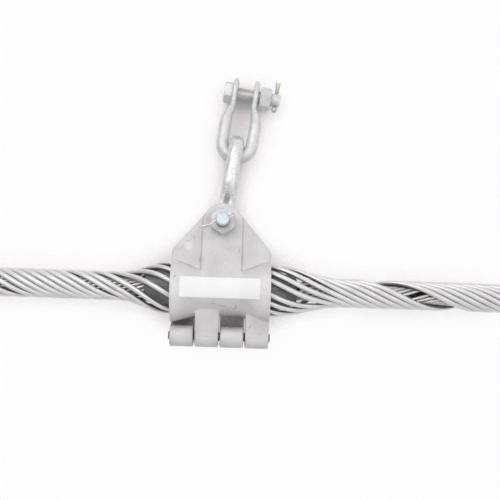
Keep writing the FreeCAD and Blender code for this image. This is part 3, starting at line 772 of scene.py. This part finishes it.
# %% How far out, and how far round
LAY_RIGHT = 24.0
LAY_LEFT = 28.0


def route_radius(x):
    """Distance of an outer rod from the cable axis."""
    away = abs(x)
    if away <= PEAK_X:
        return ease(WAIST, PEAK, away / PEAK_X)
    end = RIGHT_END if x > 0 else LEFT_END
    return ease(PEAK, OUTER_RING, (away - PEAK_X) / (end - PEAK_X))


def lay_turn(x):
    """Turn of an outer rod between the middle and x."""
    lay = math.tan(math.radians(LAY_RIGHT if x > 0 else LAY_LEFT))
    pieces = max(1, int(abs(x) / 2))
    return math.degrees(sum(lay / route_radius(x * (i + 0.5) / pieces) * x / pieces for i in range(pieces)))


print("peak", PEAK, "mm and waist", WAIST, "mm from the cable axis")

# %% [markdown]
# The rods aren't spread evenly. On the left they form groups with gaps between them, and on the right they
# bunch towards the front with one wide window, before they close again into a full layer. The three
# patterns are blended along the cable.

# %% Angle of an outer rod
LEFT_OPENINGS = {4.5: 5.0, 3.5: 17.0, 2.5: 12.0, 0.5: 10.0}
LEFT_TURN = 17
RIGHT_TURN = 27.5
BUNCHING = 0.42
WINDOW = 7.5
WINDOW_AT = 6
RIGHT_DROP = 4.5
FIRST_ROD = 2
OUTER_SLOT_X = 235.0
MIDDLE_ROD = OUTER_COUNT // 2


def outer_angle(index, x):
    """Angle of an outer rod at x."""
    grouped = (360 - sum(LEFT_OPENINGS.values())) / OUTER_COUNT * (index - MIDDLE_ROD)
    grouped -= sum(extra for place, extra in LEFT_OPENINGS.items() if index < place)
    left = grouped + LEFT_TURN - lay_turn(x) + lay_turn(-PEAK_X)
    spread = 360.0 / OUTER_COUNT * (index - MIDDLE_ROD) + RIGHT_TURN
    bunched = spread - math.degrees(BUNCHING * math.sin(math.radians(spread)))
    bunched += WINDOW * math.tanh((bunched - WINDOW_AT) / WINDOW_AT)
    edge = bunched - RIGHT_DROP - lay_turn(x) + lay_turn(PEAK_X)
    width = 2 * (OUTER_ROD + GAP / 4) / math.cos(math.radians(LAY_RIGHT))
    place = index - FIRST_ROD
    close = math.degrees(width / OUTER_RING) * (place % OUTER_COUNT - MIDDLE_ROD)
    close += 360 * (place // OUTER_COUNT)
    run = close - 180 - lay_turn(x) + lay_turn(OUTER_SLOT_X)
    angle = ease(left, edge, (x + PEAK_X) / (2 * PEAK_X))
    return ease(angle, run, (max(0.0, x - PEAK_X) / (RIGHT_END - PEAK_X)) ** 1.5)


print("outer rods:", OUTER_COUNT)

# %% [markdown]
# The inner rods lie side by side at an even lay, but for one slot that is left between two of them.

# %% Angle of an inner rod
INNER_LAY = 20
SLOT_WIDTH = 4.2
INNER_SLOT_X = 234


def inner_angle(index, x):
    """Angle of an inner rod at x, with one slot left between two of them."""
    pitch = 2 * math.pi * INNER_RING / math.tan(math.radians(INNER_LAY))
    slot = math.degrees(SLOT_WIDTH / INNER_RING)
    return slot / 2 + (360 - slot) / INNER_COUNT * (index + 0.5) + 360 * (x - INNER_SLOT_X) / pitch


print("inner rods:", INNER_COUNT)

# %% [markdown]
# Shade is painted into the grooves between wound wires. Each rod keeps, as an attribute of its points, how
# far a point stands out from the middle of its layer. The finish of the rods darkens where that is low. The
# closed run away from the rubber gets less painted shade, so its points are stored a little higher.

# %% Painted shade in the grooves
LESS_SHADED_RUN = 0.2


def painted_groove_shade(material, colour, strength):
    """Darken a rod finish where its points lie low in the layer."""
    nodes, links = material.node_tree.nodes, material.node_tree.links
    standing = nodes.new("ShaderNodeAttribute")
    standing.attribute_name = "standing"
    low = nodes.new("ShaderNodeMapRange")
    low.inputs["From Min"].default_value = 0.55
    low.inputs["From Max"].default_value = 0.05
    links.new(standing.outputs["Fac"], low.inputs["Value"])
    tinted(material, low.outputs["Result"], colour, strength)


def keep_standing(piece, layer_radius, thickness):
    """Store how far each point stands out from the middle of its layer, as a share of the rod."""
    values = []
    for vertex in piece.data.vertices:
        x = vertex.co.x / MM
        out = (math.hypot(vertex.co.y, vertex.co.z) / MM - layer_radius(x)) / thickness
        values.append(out + ease(0.0, LESS_SHADED_RUN, (abs(x) - PEAK_X) / (LEFT_END - PEAK_X)))
    standing = piece.data.attributes.new("standing", "FLOAT", "POINT")
    standing.data.foreach_set("value", values)


# Painted shade in the grooves of both rod layers.
painted_groove_shade(outer_alloy, (0.10, 0.098, 0.098), 0.85)
painted_groove_shade(shaded_inner_alloy, (0.06, 0.058, 0.056), 0.5)
print("grooves darkened on:", outer_alloy.name, "and", shaded_inner_alloy.name)

# %% [markdown]
# A smooth curve with a round bevel follows each route and becomes a mesh. It is a trace thinner than the
# rod, so that neighbours don't touch.

# %% Wind the rods
OUTER_HALF = 351
INNER_HALF = 365
TRACE = 0.06


def rod(name, half, step, place, thickness, sides):
    """One wound rod: a smooth curve with a round bevel, made a mesh."""
    count = int(2 * half / step)
    curve = bpy.data.curves.new(name, "CURVE")
    curve.dimensions = "3D"
    curve.bevel_depth = thickness * MM
    curve.bevel_resolution = sides // 2 - 2
    curve.use_fill_caps = True
    line = curve.splines.new("POLY")
    line.points.add(count)
    for number, point in enumerate(line.points):
        x = -half + 2 * half * number / count
        point.co = (*((Vector((x, 0, 0)) + place(x)) * MM), 1)
    piece = bpy.data.objects.new(name, curve)
    scene.collection.objects.link(piece)
    only(piece)
    bpy.ops.object.convert(target="MESH")
    return bpy.context.object


for number in range(OUTER_COUNT):
    label = "outer_%02d" % (number + 1)
    measured = "outer_rod_%02d" % (number + 1)
    wire = rod("wound_" + label, OUTER_HALF, 3.0,
               lambda x, n=number: around(outer_angle(n, x), route_radius(x)), OUTER_ROD - TRACE, 16)
    keep_standing(wire, route_radius, OUTER_ROD)
    dressed(wire, "wound_" + label, outer_alloy, "clamp", [measured], 50)
for number in range(INNER_COUNT):
    label = "inner_%02d" % (number + 1)
    measured = "inner_rod_%02d" % (number + 1)
    wire = rod("wound_" + label, INNER_HALF, 3.5,
               lambda x, n=number: around(inner_angle(n, x), INNER_RING), INNER_ROD - TRACE, 12)
    keep_standing(wire, lambda x: INNER_RING, INNER_ROD)
    dressed(wire, "wound_" + label, shaded_inner_alloy, "clamp", [measured], 50)
print("rods wound:", OUTER_COUNT + INNER_COUNT)

# %% [markdown]
# The rubber insert is moulded in two halves that close round the inner rods. Each half is a profile spun
# through half a turn, with a rounded lip at both ends.

# %% Rubber insert
INSERT_HALF = 91.0
INSERT_END = 17.5
PARTING = 0.0002


def insert_radius(x):
    """Outside of the rubber under the outer rods."""
    under = route_radius(-abs(x)) - OUTER_ROD - 2.5 * GAP
    return min(under, ease(under, INSERT_END, (abs(x) - PEAK_X) / (INSERT_HALF - PEAK_X)))


def insert_half(name, node, start):
    """Half of the insert, spun from the parting plane."""
    places = [i * 4.0 for i in range(-22, 23)]
    crown = [(x, insert_radius(x)) for x in places]
    bore = INNER_RING + INNER_ROD + GAP / 2
    lip = [(x, insert_radius(x) - rounding) for x, rounding in ((89.6, 0.4), (90.6, 1.2), (INSERT_HALF, 2.4))]
    profile = [(-x, r) for x, r in reversed(lip)] + crown + lip + [(INSERT_HALF, bore), (-INSERT_HALF, bore)]
    profile.append(profile[0])
    profile = [(x * MM, r * MM) for x, r in profile]
    piece = turned(name, profile, (0, 0, 0), (1, 0, 0), start, 28, math.pi)
    only(piece)
    bpy.ops.object.mode_set(mode="EDIT")
    bpy.ops.mesh.select_mode(type="EDGE")
    bpy.ops.mesh.select_all(action="DESELECT")
    bpy.ops.mesh.select_non_manifold()
    bpy.ops.mesh.edge_face_add()
    bpy.ops.mesh.select_mode(type="VERT")
    bpy.ops.mesh.select_all(action="SELECT")
    bpy.ops.mesh.normals_make_consistent(inside=False)
    bpy.ops.object.mode_set(mode="OBJECT")
    lowest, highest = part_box(node)
    middle = (lowest + highest) / 2
    print(name, "sits round z", round(middle.z * 1000, 1))
    return piece


upper_rubber = insert_half("rubber_upper", "insert_upper", (0, -1, 0))
lower_rubber = insert_half("rubber_lower", "insert_lower", (0, 1, 0))
for piece, sign in ((upper_rubber, 1), (lower_rubber, -1)):
    only(piece)
    bpy.ops.object.mode_set(mode="EDIT")
    bpy.ops.mesh.select_all(action="SELECT")
    bpy.ops.transform.translate(value=(0, 0, sign * PARTING))
    bpy.ops.object.mode_set(mode="OBJECT")
dressed(upper_rubber, "rubber_upper", rubber, "clamp", ["insert_upper"])
dressed(lower_rubber, "rubber_lower", rubber, "clamp", ["insert_lower"])

# %% [markdown]
# The housing halves are castings, so no edge is sharp. A copy of each measured half is merged, remeshed
# finely and smoothed, which rounds the edges and leaves a small fillet in every corner.

# %% Cast housing


def cast_copy(node, name, voxel, rounds):
    """A softened copy of a measured casting."""
    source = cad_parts[node]
    piece = source.copy()
    piece.data = source.data.copy()
    piece.parent = None
    piece.matrix_world = source.matrix_world
    scene.collection.objects.link(piece)
    only(piece)
    bpy.ops.object.mode_set(mode="EDIT")
    bpy.ops.mesh.select_all(action="SELECT")
    bpy.ops.mesh.remove_doubles(threshold=1e-6)
    bpy.ops.object.mode_set(mode="OBJECT")
    piece.data.remesh_voxel_size = voxel * MM
    piece.data.remesh_voxel_adaptivity = 0
    bpy.ops.object.voxel_remesh()
    bpy.ops.mesh.customdata_custom_splitnormals_clear()
    soften = piece.modifiers.new("soften", "SMOOTH")
    soften.factor = 0.5
    soften.iterations = rounds
    apply_all(piece)
    piece.name = name
    print(name, "triangles:", sum(len(p.vertices) - 2 for p in piece.data.polygons))
    return piece


print("castings are softened copies of the measured halves")

# %% [markdown]
# The rolls of the hinge look truly round. Smoothing draws them in a little, so the vertices near their skin
# are moved onto one round surface.

# %% Round hinge rolls
ROLL_DROP = 57.0
ROLL_RADIUS = 12.95
ROLL_STEP = 29.9
ROLLS_START = 59.0
SKIN = (11.9, 13.3)
ROLL_TOP = -45.5
BETWEEN_EDGES = (1.9, 26.4)


def true_rolls(piece):
    """Turn the hinge rolls true again: vertices near the skin of a roll move onto one round surface."""
    moved = 0
    for vertex in piece.data.vertices:
        spot = vertex.co / MM
        away = Vector((spot.y, spot.z + ROLL_DROP))
        along = (spot.x + ROLLS_START) % ROLL_STEP
        near = SKIN[0] < away.length < SKIN[1] and spot.z < ROLL_TOP
        if near and BETWEEN_EDGES[0] < along < BETWEEN_EDGES[1]:
            away *= ROLL_RADIUS / away.length
            vertex.co = Vector((spot.x, away.x, away.y - ROLL_DROP)) * MM
            moved += 1
    print(piece.name, "vertices on the rolls:", moved)


for side in ("front", "back"):
    half = cast_copy("housing_" + side, "casting_" + side, 0.85, 12)
    true_rolls(half)
    dressed(half, "casting_" + side, cast_alloy, "clamp", ["housing_" + side], 60)

# %% [markdown]
# The shackles are forged from round bar: a bow at one end, and two legs hammered flat into ears for the
# bolt. Each is one ring extruded along its route, round on the bar and squarer towards the ears.

# %% Sizes and axes of the shackles
UPPER_REACH = 88.0
LOWER_REACH = 112.0
BAR = 7.5
CROWN = 8.7
BOW = 18.5
EAR = 13.0
EAR_THIN = 3.25
EAR_HALF_WIDTH = 16.0
EYE_REACH = 20.0
HOLE = 8.3
EAR_SQUARE = 5.0
ROUND = 2.0
LEAN = math.radians(7.5)
BOLT_Z = 78.0
CHAIN = UPPER_REACH + LOWER_REACH - 4 * CROWN - GAP
UP = Vector((math.sin(LEAN), 0, math.cos(LEAN)))
ACROSS = Vector((math.cos(LEAN), 0, -math.sin(LEAN)))
FRONT = Vector((0, 1, 0))
CLAMP_PIN = Vector((0, 0, BOLT_Z))
TOWER_PIN = CLAMP_PIN + UP * CHAIN
print("the tower bolt stands", round(CHAIN, 1), "mm above the clamp bolt")

# %% [markdown]
# A leg is a list of stations from the tip of the ear down to the bow. Each has a place, a thickness, a
# width and a squareness: 2 is round, and more is squarer.

# %% Stations down a leg


def leg_rows(reach, neck_start, neck_length, broad_bar, ear_length):
    """Down one leg: distance below the bolt, offset, half thickness, half width, squareness."""
    rows = []
    for share in (0.995, 0.97, 0.93, 0.85, 0.7, 0.5, 0.25, 0.0):
        width = EAR_HALF_WIDTH * math.sqrt(1 - share * share)
        taper = ease(0.55, 1.0, (1 - share) / 0.35)
        rows.append((-share * EYE_REACH, EAR, EAR_THIN * taper, max(width, 2.0), EAR_SQUARE))
    for below in (neck_start / 3, neck_start * 2 / 3):
        width = ease(EAR_HALF_WIDTH, broad_bar, below / ear_length)
        rows.append((below, EAR, EAR_THIN, width, EAR_SQUARE))
    for step in range(11):
        share = step / 10
        below = neck_start + share * neck_length
        width = ease(EAR_HALF_WIDTH, broad_bar, below / ear_length)
        square = EAR_SQUARE + (ROUND - EAR_SQUARE) * ease(0, 1, share)
        rows.append((below, ease(EAR, BOW, share), ease(EAR_THIN, BAR, share), width, square))
    straight = reach - CROWN - BOW
    first = neck_start + neck_length
    for step in range(1, 5):
        rows.append((first + (straight - first) * step / 4, BOW, BAR, broad_bar, ROUND))
    return rows


print("squareness of the ears:", EAR_SQUARE)

# %% [markdown]
# The stations of one leg, the bow and the mirrored leg make one row of rings. On one side of the neck lies
# a shallow hollow, as in the photograph. The hole for the bolt is drilled last, through both ears.

# %% Forge a shackle
BOW_STEPS = 24
RING_CORNERS = 28


def shackle(name, reach, neck_start, neck_length, broad_bar, ear_length, origin, down, across, broad):
    """A forged shackle in its place: its bolt at origin, its bow towards down."""
    side = leg_rows(reach, neck_start, neck_length, broad_bar, ear_length)
    straight = reach - CROWN - BOW
    rows = [(Vector((offset, below)), thin, wide, square) for below, offset, thin, wide, square in side]
    for step in range(1, BOW_STEPS):
        turn = math.pi * step / BOW_STEPS
        place = Vector((BOW * math.cos(turn), straight + BOW * math.sin(turn)))
        bar = BAR + (CROWN - BAR) * math.sin(turn)
        rows.append((place, bar, broad_bar + (CROWN - broad_bar) * math.sin(turn), ROUND))
    for place, thin, wide, square in reversed(rows[:len(side)]):
        rows.append((Vector((-place.x, place.y)), thin, wide, square))
    rings = []
    last = len(rows) - 1
    for index, (place, thin, wide, square) in enumerate(rows):
        along = (rows[min(index + 1, last)][0] - rows[max(index - 1, 0)][0]).normalized()
        normal = Vector((-along.y, along.x))
        hollow = 0.4 * math.exp(-((place.y - neck_start - 10) / 8) ** 2)
        ring = []
        for corner in range(RING_CORNERS):
            turn = 2 * math.pi * corner / RING_CORNERS
            flat = math.copysign(abs(math.cos(turn)) ** (2 / square), math.cos(turn)) * thin
            wide_part = math.copysign(abs(math.sin(turn)) ** (2 / square), math.sin(turn)) * wide
            if flat < 0:
                flat *= 1 - hollow * math.cos(turn) ** 4
            spot = place + normal * flat
            ring.append((origin + across * spot.x + down * spot.y + broad * wide_part) * MM)
        rings.append(ring)
    piece = extruded_rings(name, rings)
    bpy.ops.object.select_all(action="DESELECT")
    bpy.ops.mesh.primitive_cylinder_add(vertices=48, radius=HOLE * MM, depth=0.08, location=origin * MM,
                                        rotation=across.to_track_quat("Z", "Y").to_euler())
    return cut(piece, bpy.context.object)


print("corners of a ring:", RING_CORNERS)

# %% [markdown]
# The upper shackle hangs down in the plane of the picture, and the lower one stands up through its bow, a
# quarter turn round. The lower one has thicker legs, and its ears narrow sooner.

# %% Upper and lower shackle
FLATS = 24.0
LOWER_BAR = 8.8

upper_neck = FLATS / math.sqrt(3) + 2 * GAP
upper = shackle("forged_upper", UPPER_REACH, upper_neck, 20.0, BAR, 38.0, TOWER_PIN, -UP, ACROSS, FRONT)
dressed(upper, "forged_upper", galvanised, "upper_shackle", ["upper_shackle"], 40)
lower = shackle("forged_lower", LOWER_REACH, 24.0, 28.0, LOWER_BAR, 25.0, CLAMP_PIN, UP, FRONT, ACROSS)
dressed(lower, "forged_lower", lower_zinc, "lower_shackle", ["lower_shackle"], 40)
print("shackles forged")

# %% [markdown]
# Heads and nuts are hexagons whose corners are chamfered. A prism of six sides is trimmed by a turned cone,
# as on a lathe, and a small bevel softens its edges.

# %% Hexagons
CHAMFER_ANGLE = 30


def hexagon(name, centre, axis, low, high, flats, across_corner, ends):
    """A hexagon prism along an axis, its corners chamfered at the chosen ends."""
    along = axis.normalized()
    middle = centre + along * (low + high) / 2
    corner = flats / 2 / math.cos(math.pi / 6)
    trimmed = flats * 0.48
    rise = (2 * corner - 2 * trimmed) * math.tan(math.radians(CHAMFER_ANGLE))
    turn = along.to_track_quat("Z", "Y")
    bpy.ops.object.select_all(action="DESELECT")
    bpy.ops.mesh.primitive_cylinder_add(vertices=6, radius=corner * MM, depth=(high - low) * MM)
    piece = bpy.context.object
    flat = turn.inverted() @ across_corner
    spin = math.atan2(flat.y, flat.x) - math.pi / 2
    piece.rotation_euler = (turn @ Euler((0, 0, spin)).to_quaternion()).to_euler()
    piece.location = middle * MM
    only(piece)
    bpy.ops.object.transform_apply(location=True, rotation=True, scale=True)
    profile = [(low, 0.0)]
    outer = 2 * corner - trimmed
    profile += [(low, trimmed), (low + rise, outer)] if "low" in ends else [(low, outer)]
    profile += [(high - rise, outer), (high, trimmed)] if "high" in ends else [(high, outer)]
    profile.append((high, 0.0))
    cone = [(a * MM, r * MM) for a, r in profile]
    trim = turned(name + "_trim", cone, centre * MM, along, across_corner, 64)
    cut(piece, trim, "INTERSECT")
    soft = piece.modifiers.new("soft edges", "BEVEL")
    soft.width = 0.35 * MM
    soft.segments = 2
    soft.angle_limit = math.radians(25)
    apply_all(piece)
    return piece


print("chamfer of the hexagons:", CHAMFER_ANGLE, "degrees")

# %% [markdown]
# The thread is rolled into the shank. Seen at this size it is a row of small ridges, so shank and thread
# are turned as one profile. The point is chamfered so that the nut finds its way.

# %% Threaded shanks
BOLT = 8.0
ROOT = 7.45
CREST = 7.98
PITCH = 2.0


def shank(name, centre, axis, outward, length, thread_from):
    """A shank with ridges of thread at its end and a chamfered point."""
    profile = [(0.0, 0.0), (0.0, BOLT), (thread_from, BOLT)]
    along = thread_from
    while along < length - 2.4:
        profile += [(along + 0.5, ROOT), (along + 1.0, ROOT), (along + 1.5, CREST), (along + PITCH, CREST)]
        along += PITCH
    profile += [(length - 1.3, 7.7), (length - 0.4, 7.4), (length, 6.9), (length, 0.0)]
    return turned(name, [(a * MM, r * MM) for a, r in profile], centre * MM, axis, outward, 48)


print("thread pitch", PITCH, "mm")

# %% [markdown]
# A bolt is joined from its shank and head, nuts and shanks are drilled, and a bolt can have a second finish
# over a part of its length.

# %% Join, drill and paint a part


def joined(name, *pieces):
    """Join pieces into one object."""
    only(*pieces)
    bpy.ops.object.join()
    piece = bpy.context.object
    piece.name = name
    return piece


def bored(piece, centre, axis, radius):
    """Drill a round hole through a piece."""
    bpy.ops.object.select_all(action="DESELECT")
    bpy.ops.mesh.primitive_cylinder_add(vertices=40, radius=radius * MM, depth=0.2, location=centre * MM,
                                        rotation=Vector(axis).to_track_quat("Z", "Y").to_euler())
    return cut(piece, bpy.context.object)


def painted_part(piece, material, start, axis, low, high):
    """Give the faces between two distances from the start, in metres, a second finish."""
    piece.data.materials.append(material)
    for face in piece.data.polygons:
        reach = (face.center - start * MM).dot(axis)
        if low < reach < high:
            face.material_index = 1


print("bolt tools ready")

# %% [markdown]
# The tower bolt goes through both ears of the upper shackle. Its nut isn't run home but stands a little off
# the ear, and a split pin behind it keeps it on. The shank between the ears is dull.

# %% Tower bolt and nut
OUTSIDE = EAR + EAR_THIN
SEAT = 0.02
HEAD_HEIGHT = 10.0
NUT_HEIGHT = 13.5
NUT_BORE = 8.08
TOWER_HOLE = 54.4
STANDOFF = 2.3

tower_start = TOWER_PIN - ACROSS * (OUTSIDE + SEAT)
tower_shank = shank("tower_shank", tower_start, ACROSS, FRONT, 60.0, 34.0)
bored(tower_shank, tower_start + ACROSS * TOWER_HOLE, UP, 2.1)
tower_head = hexagon("tower_head", tower_start, ACROSS, -HEAD_HEIGHT, 0.0, FLATS, UP, ["low"])
tower_piece = joined("galvanised_tower_bolt", tower_shank, tower_head)
dressed(tower_piece, "galvanised_tower_bolt", galvanised, "tower_bolt", ["tower_bolt"])
painted_part(tower_piece, dull_zinc, tower_start, ACROSS, 0.0001, 0.046)
nut_low = 2 * (OUTSIDE + SEAT) + STANDOFF
tower_nut = hexagon("galvanised_tower_nut", tower_start, ACROSS, nut_low, nut_low + NUT_HEIGHT, FLATS, FRONT,
                    ["low", "high"])
bored(tower_nut, tower_start, ACROSS, NUT_BORE)
dressed(tower_nut, "galvanised_tower_nut", galvanised, "tower_bolt", ["tower_nut"])
print("tower bolt made")

# %% [markdown]
# The clamp bolt goes from back to front, through both ears of the housing and the lower shackle between them.
# It is bright, its thread beyond the nut is painted dark as shade, and its nut is wider than the other.

# %% Clamp bolt and nut
EAR_GAP_HALF = 17.0
EAR_PLATE = 7.0
RIB = 4.4
RIB_FACE = EAR_GAP_HALF + EAR_PLATE + RIB
WIDE_FLATS = 27.0

clamp_axis = Vector((0, -1, 0))
clamp_start = Vector((0, RIB_FACE + SEAT, BOLT_Z))
side_x = Vector((1, 0, 0))
up_z = Vector((0, 0, 1))
clamp_shank = shank("clamp_shank", clamp_start, clamp_axis, side_x, 88.0, 58.0)
clamp_head = hexagon("clamp_head", clamp_start, clamp_axis, -HEAD_HEIGHT, 0.0, FLATS, up_z, ["low"])
clamp_piece = joined("galvanised_clamp_bolt", clamp_shank, clamp_head)
dressed(clamp_piece, "galvanised_clamp_bolt", bright_zinc, "clamp", ["clamp_bolt"])
# Painted shade on the underside of the thread beyond the nut.
painted_part(clamp_piece, shade_painted_thread, clamp_start, clamp_axis, 0.060, 0.0785)
clamp_low = 2 * (RIB_FACE + SEAT)
clamp_nut = hexagon("galvanised_clamp_nut", clamp_start, clamp_axis, clamp_low, clamp_low + NUT_HEIGHT,
                    WIDE_FLATS, up_z, ["low", "high"])
bored(clamp_nut, clamp_start, clamp_axis, NUT_BORE)
dressed(clamp_nut, "galvanised_clamp_nut", galvanised, "clamp", ["clamp_nut"])
print("clamp bolt made")

# %% [markdown]
# A split pin is one half-round wire folded back on itself, so its two flat sides lie together. The fold is
# left open as an eye, and the free ends are bent apart once they are through. A curve with a round bevel
# carries the wire, and the prongs of the lower pin are twisted a little round each other.

# %% Bend a split pin
WIRE = 1.05


def split_pin(name, centre, along, sideways, prong, spread_share, twist):
    """A folded wire: its eye at the back along the axis, its two prongs forward, spread and twisted."""
    along = along.normalized()
    sideways = sideways.normalized()
    third = along.cross(sideways)
    beside = WIRE + 0.05

    def prong_point(reach, spread, turn):
        """A point of the wire: so far along the pin, so far from its middle, turned about it."""
        direction = sideways * math.cos(turn) + third * math.sin(turn)
        return centre + along * reach + direction * spread

    one = []
    for step in range(9):
        share = 1 - step / 8
        one.append((8.0 + prong * share, beside * (1 + spread_share * share * share), twist * share))
    one += [(4.0, beside, 0.0), (0.0, beside, 0.0), (-8.3, beside, 0.0)]
    path = [prong_point(reach, spread, turn) for reach, spread, turn in one]
    for step in range(13):
        turn = math.radians(50 + 260 / 12 * step)
        path.append(centre + along * (-11.2 + 3.2 * math.cos(turn)) + sideways * (2.3 * math.sin(turn)))
    path += [prong_point(reach, -spread, turn) for reach, spread, turn in reversed(one)]
    curve = bpy.data.curves.new(name, "CURVE")
    curve.dimensions = "3D"
    curve.bevel_depth = (WIRE + 0.03) * MM
    curve.bevel_resolution = 3
    curve.resolution_u = 3
    curve.use_fill_caps = True
    line = curve.splines.new("NURBS")
    line.points.add(len(path) - 1)
    for point, place in zip(line.points, path):
        point.co = (*(place * MM), 1)
    line.use_endpoint_u = True
    line.order_u = 3
    piece = bpy.data.objects.new(name, curve)
    scene.collection.objects.link(piece)
    only(piece)
    bpy.ops.object.convert(target="MESH")
    return bpy.context.object


print("split pin wire", WIRE, "mm")

# %% [markdown]
# The tower's pin goes straight through its bolt along the chain. The clamp's pin lies aslant, and its ends
# twist.

# %% Both split pins
CLAMP_HOLE = 82.4

tower_pin_middle = tower_start + ACROSS * TOWER_HOLE
upper_pin = split_pin("tower_split_pin", tower_pin_middle, UP, ACROSS, 15.0, 1.0, 0.0)
dressed(upper_pin, "wire_tower_cotter", cotter_wire, "tower_bolt", ["tower_cotter"], 60)
clamp_turn = math.radians(206)
clamp_pin_middle = clamp_start + clamp_axis * CLAMP_HOLE
clamp_along = Vector((math.cos(clamp_turn), 0, math.sin(clamp_turn)))
clamp_beside = Vector((-math.sin(clamp_turn), 0, math.cos(clamp_turn)))
lower_pin = split_pin("clamp_split_pin", clamp_pin_middle, clamp_along, clamp_beside, 21.0, 1.2,
                      math.radians(190))
dressed(lower_pin, "wire_clamp_cotter", pale_wire, "clamp", ["clamp_cotter"], 60)
print("split pins bent")

# %% [markdown]
# The hinge pin is a plain turned pin and the sticker a flat sheet, so the measured pieces already have
# their shape and only take a finish.

# %% Finishes on the measured pieces that stay
STAY = {"hinge_pin": pin_steel, "blank_sticker": sticker_paper}
for node, material in STAY.items():
    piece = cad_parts[node]
    if not piece.material_slots:
        piece.data.materials.append(material)
    for spot in piece.material_slots:
        spot.link = "OBJECT"
        spot.material = material
print("measured pieces kept:", sorted(STAY))
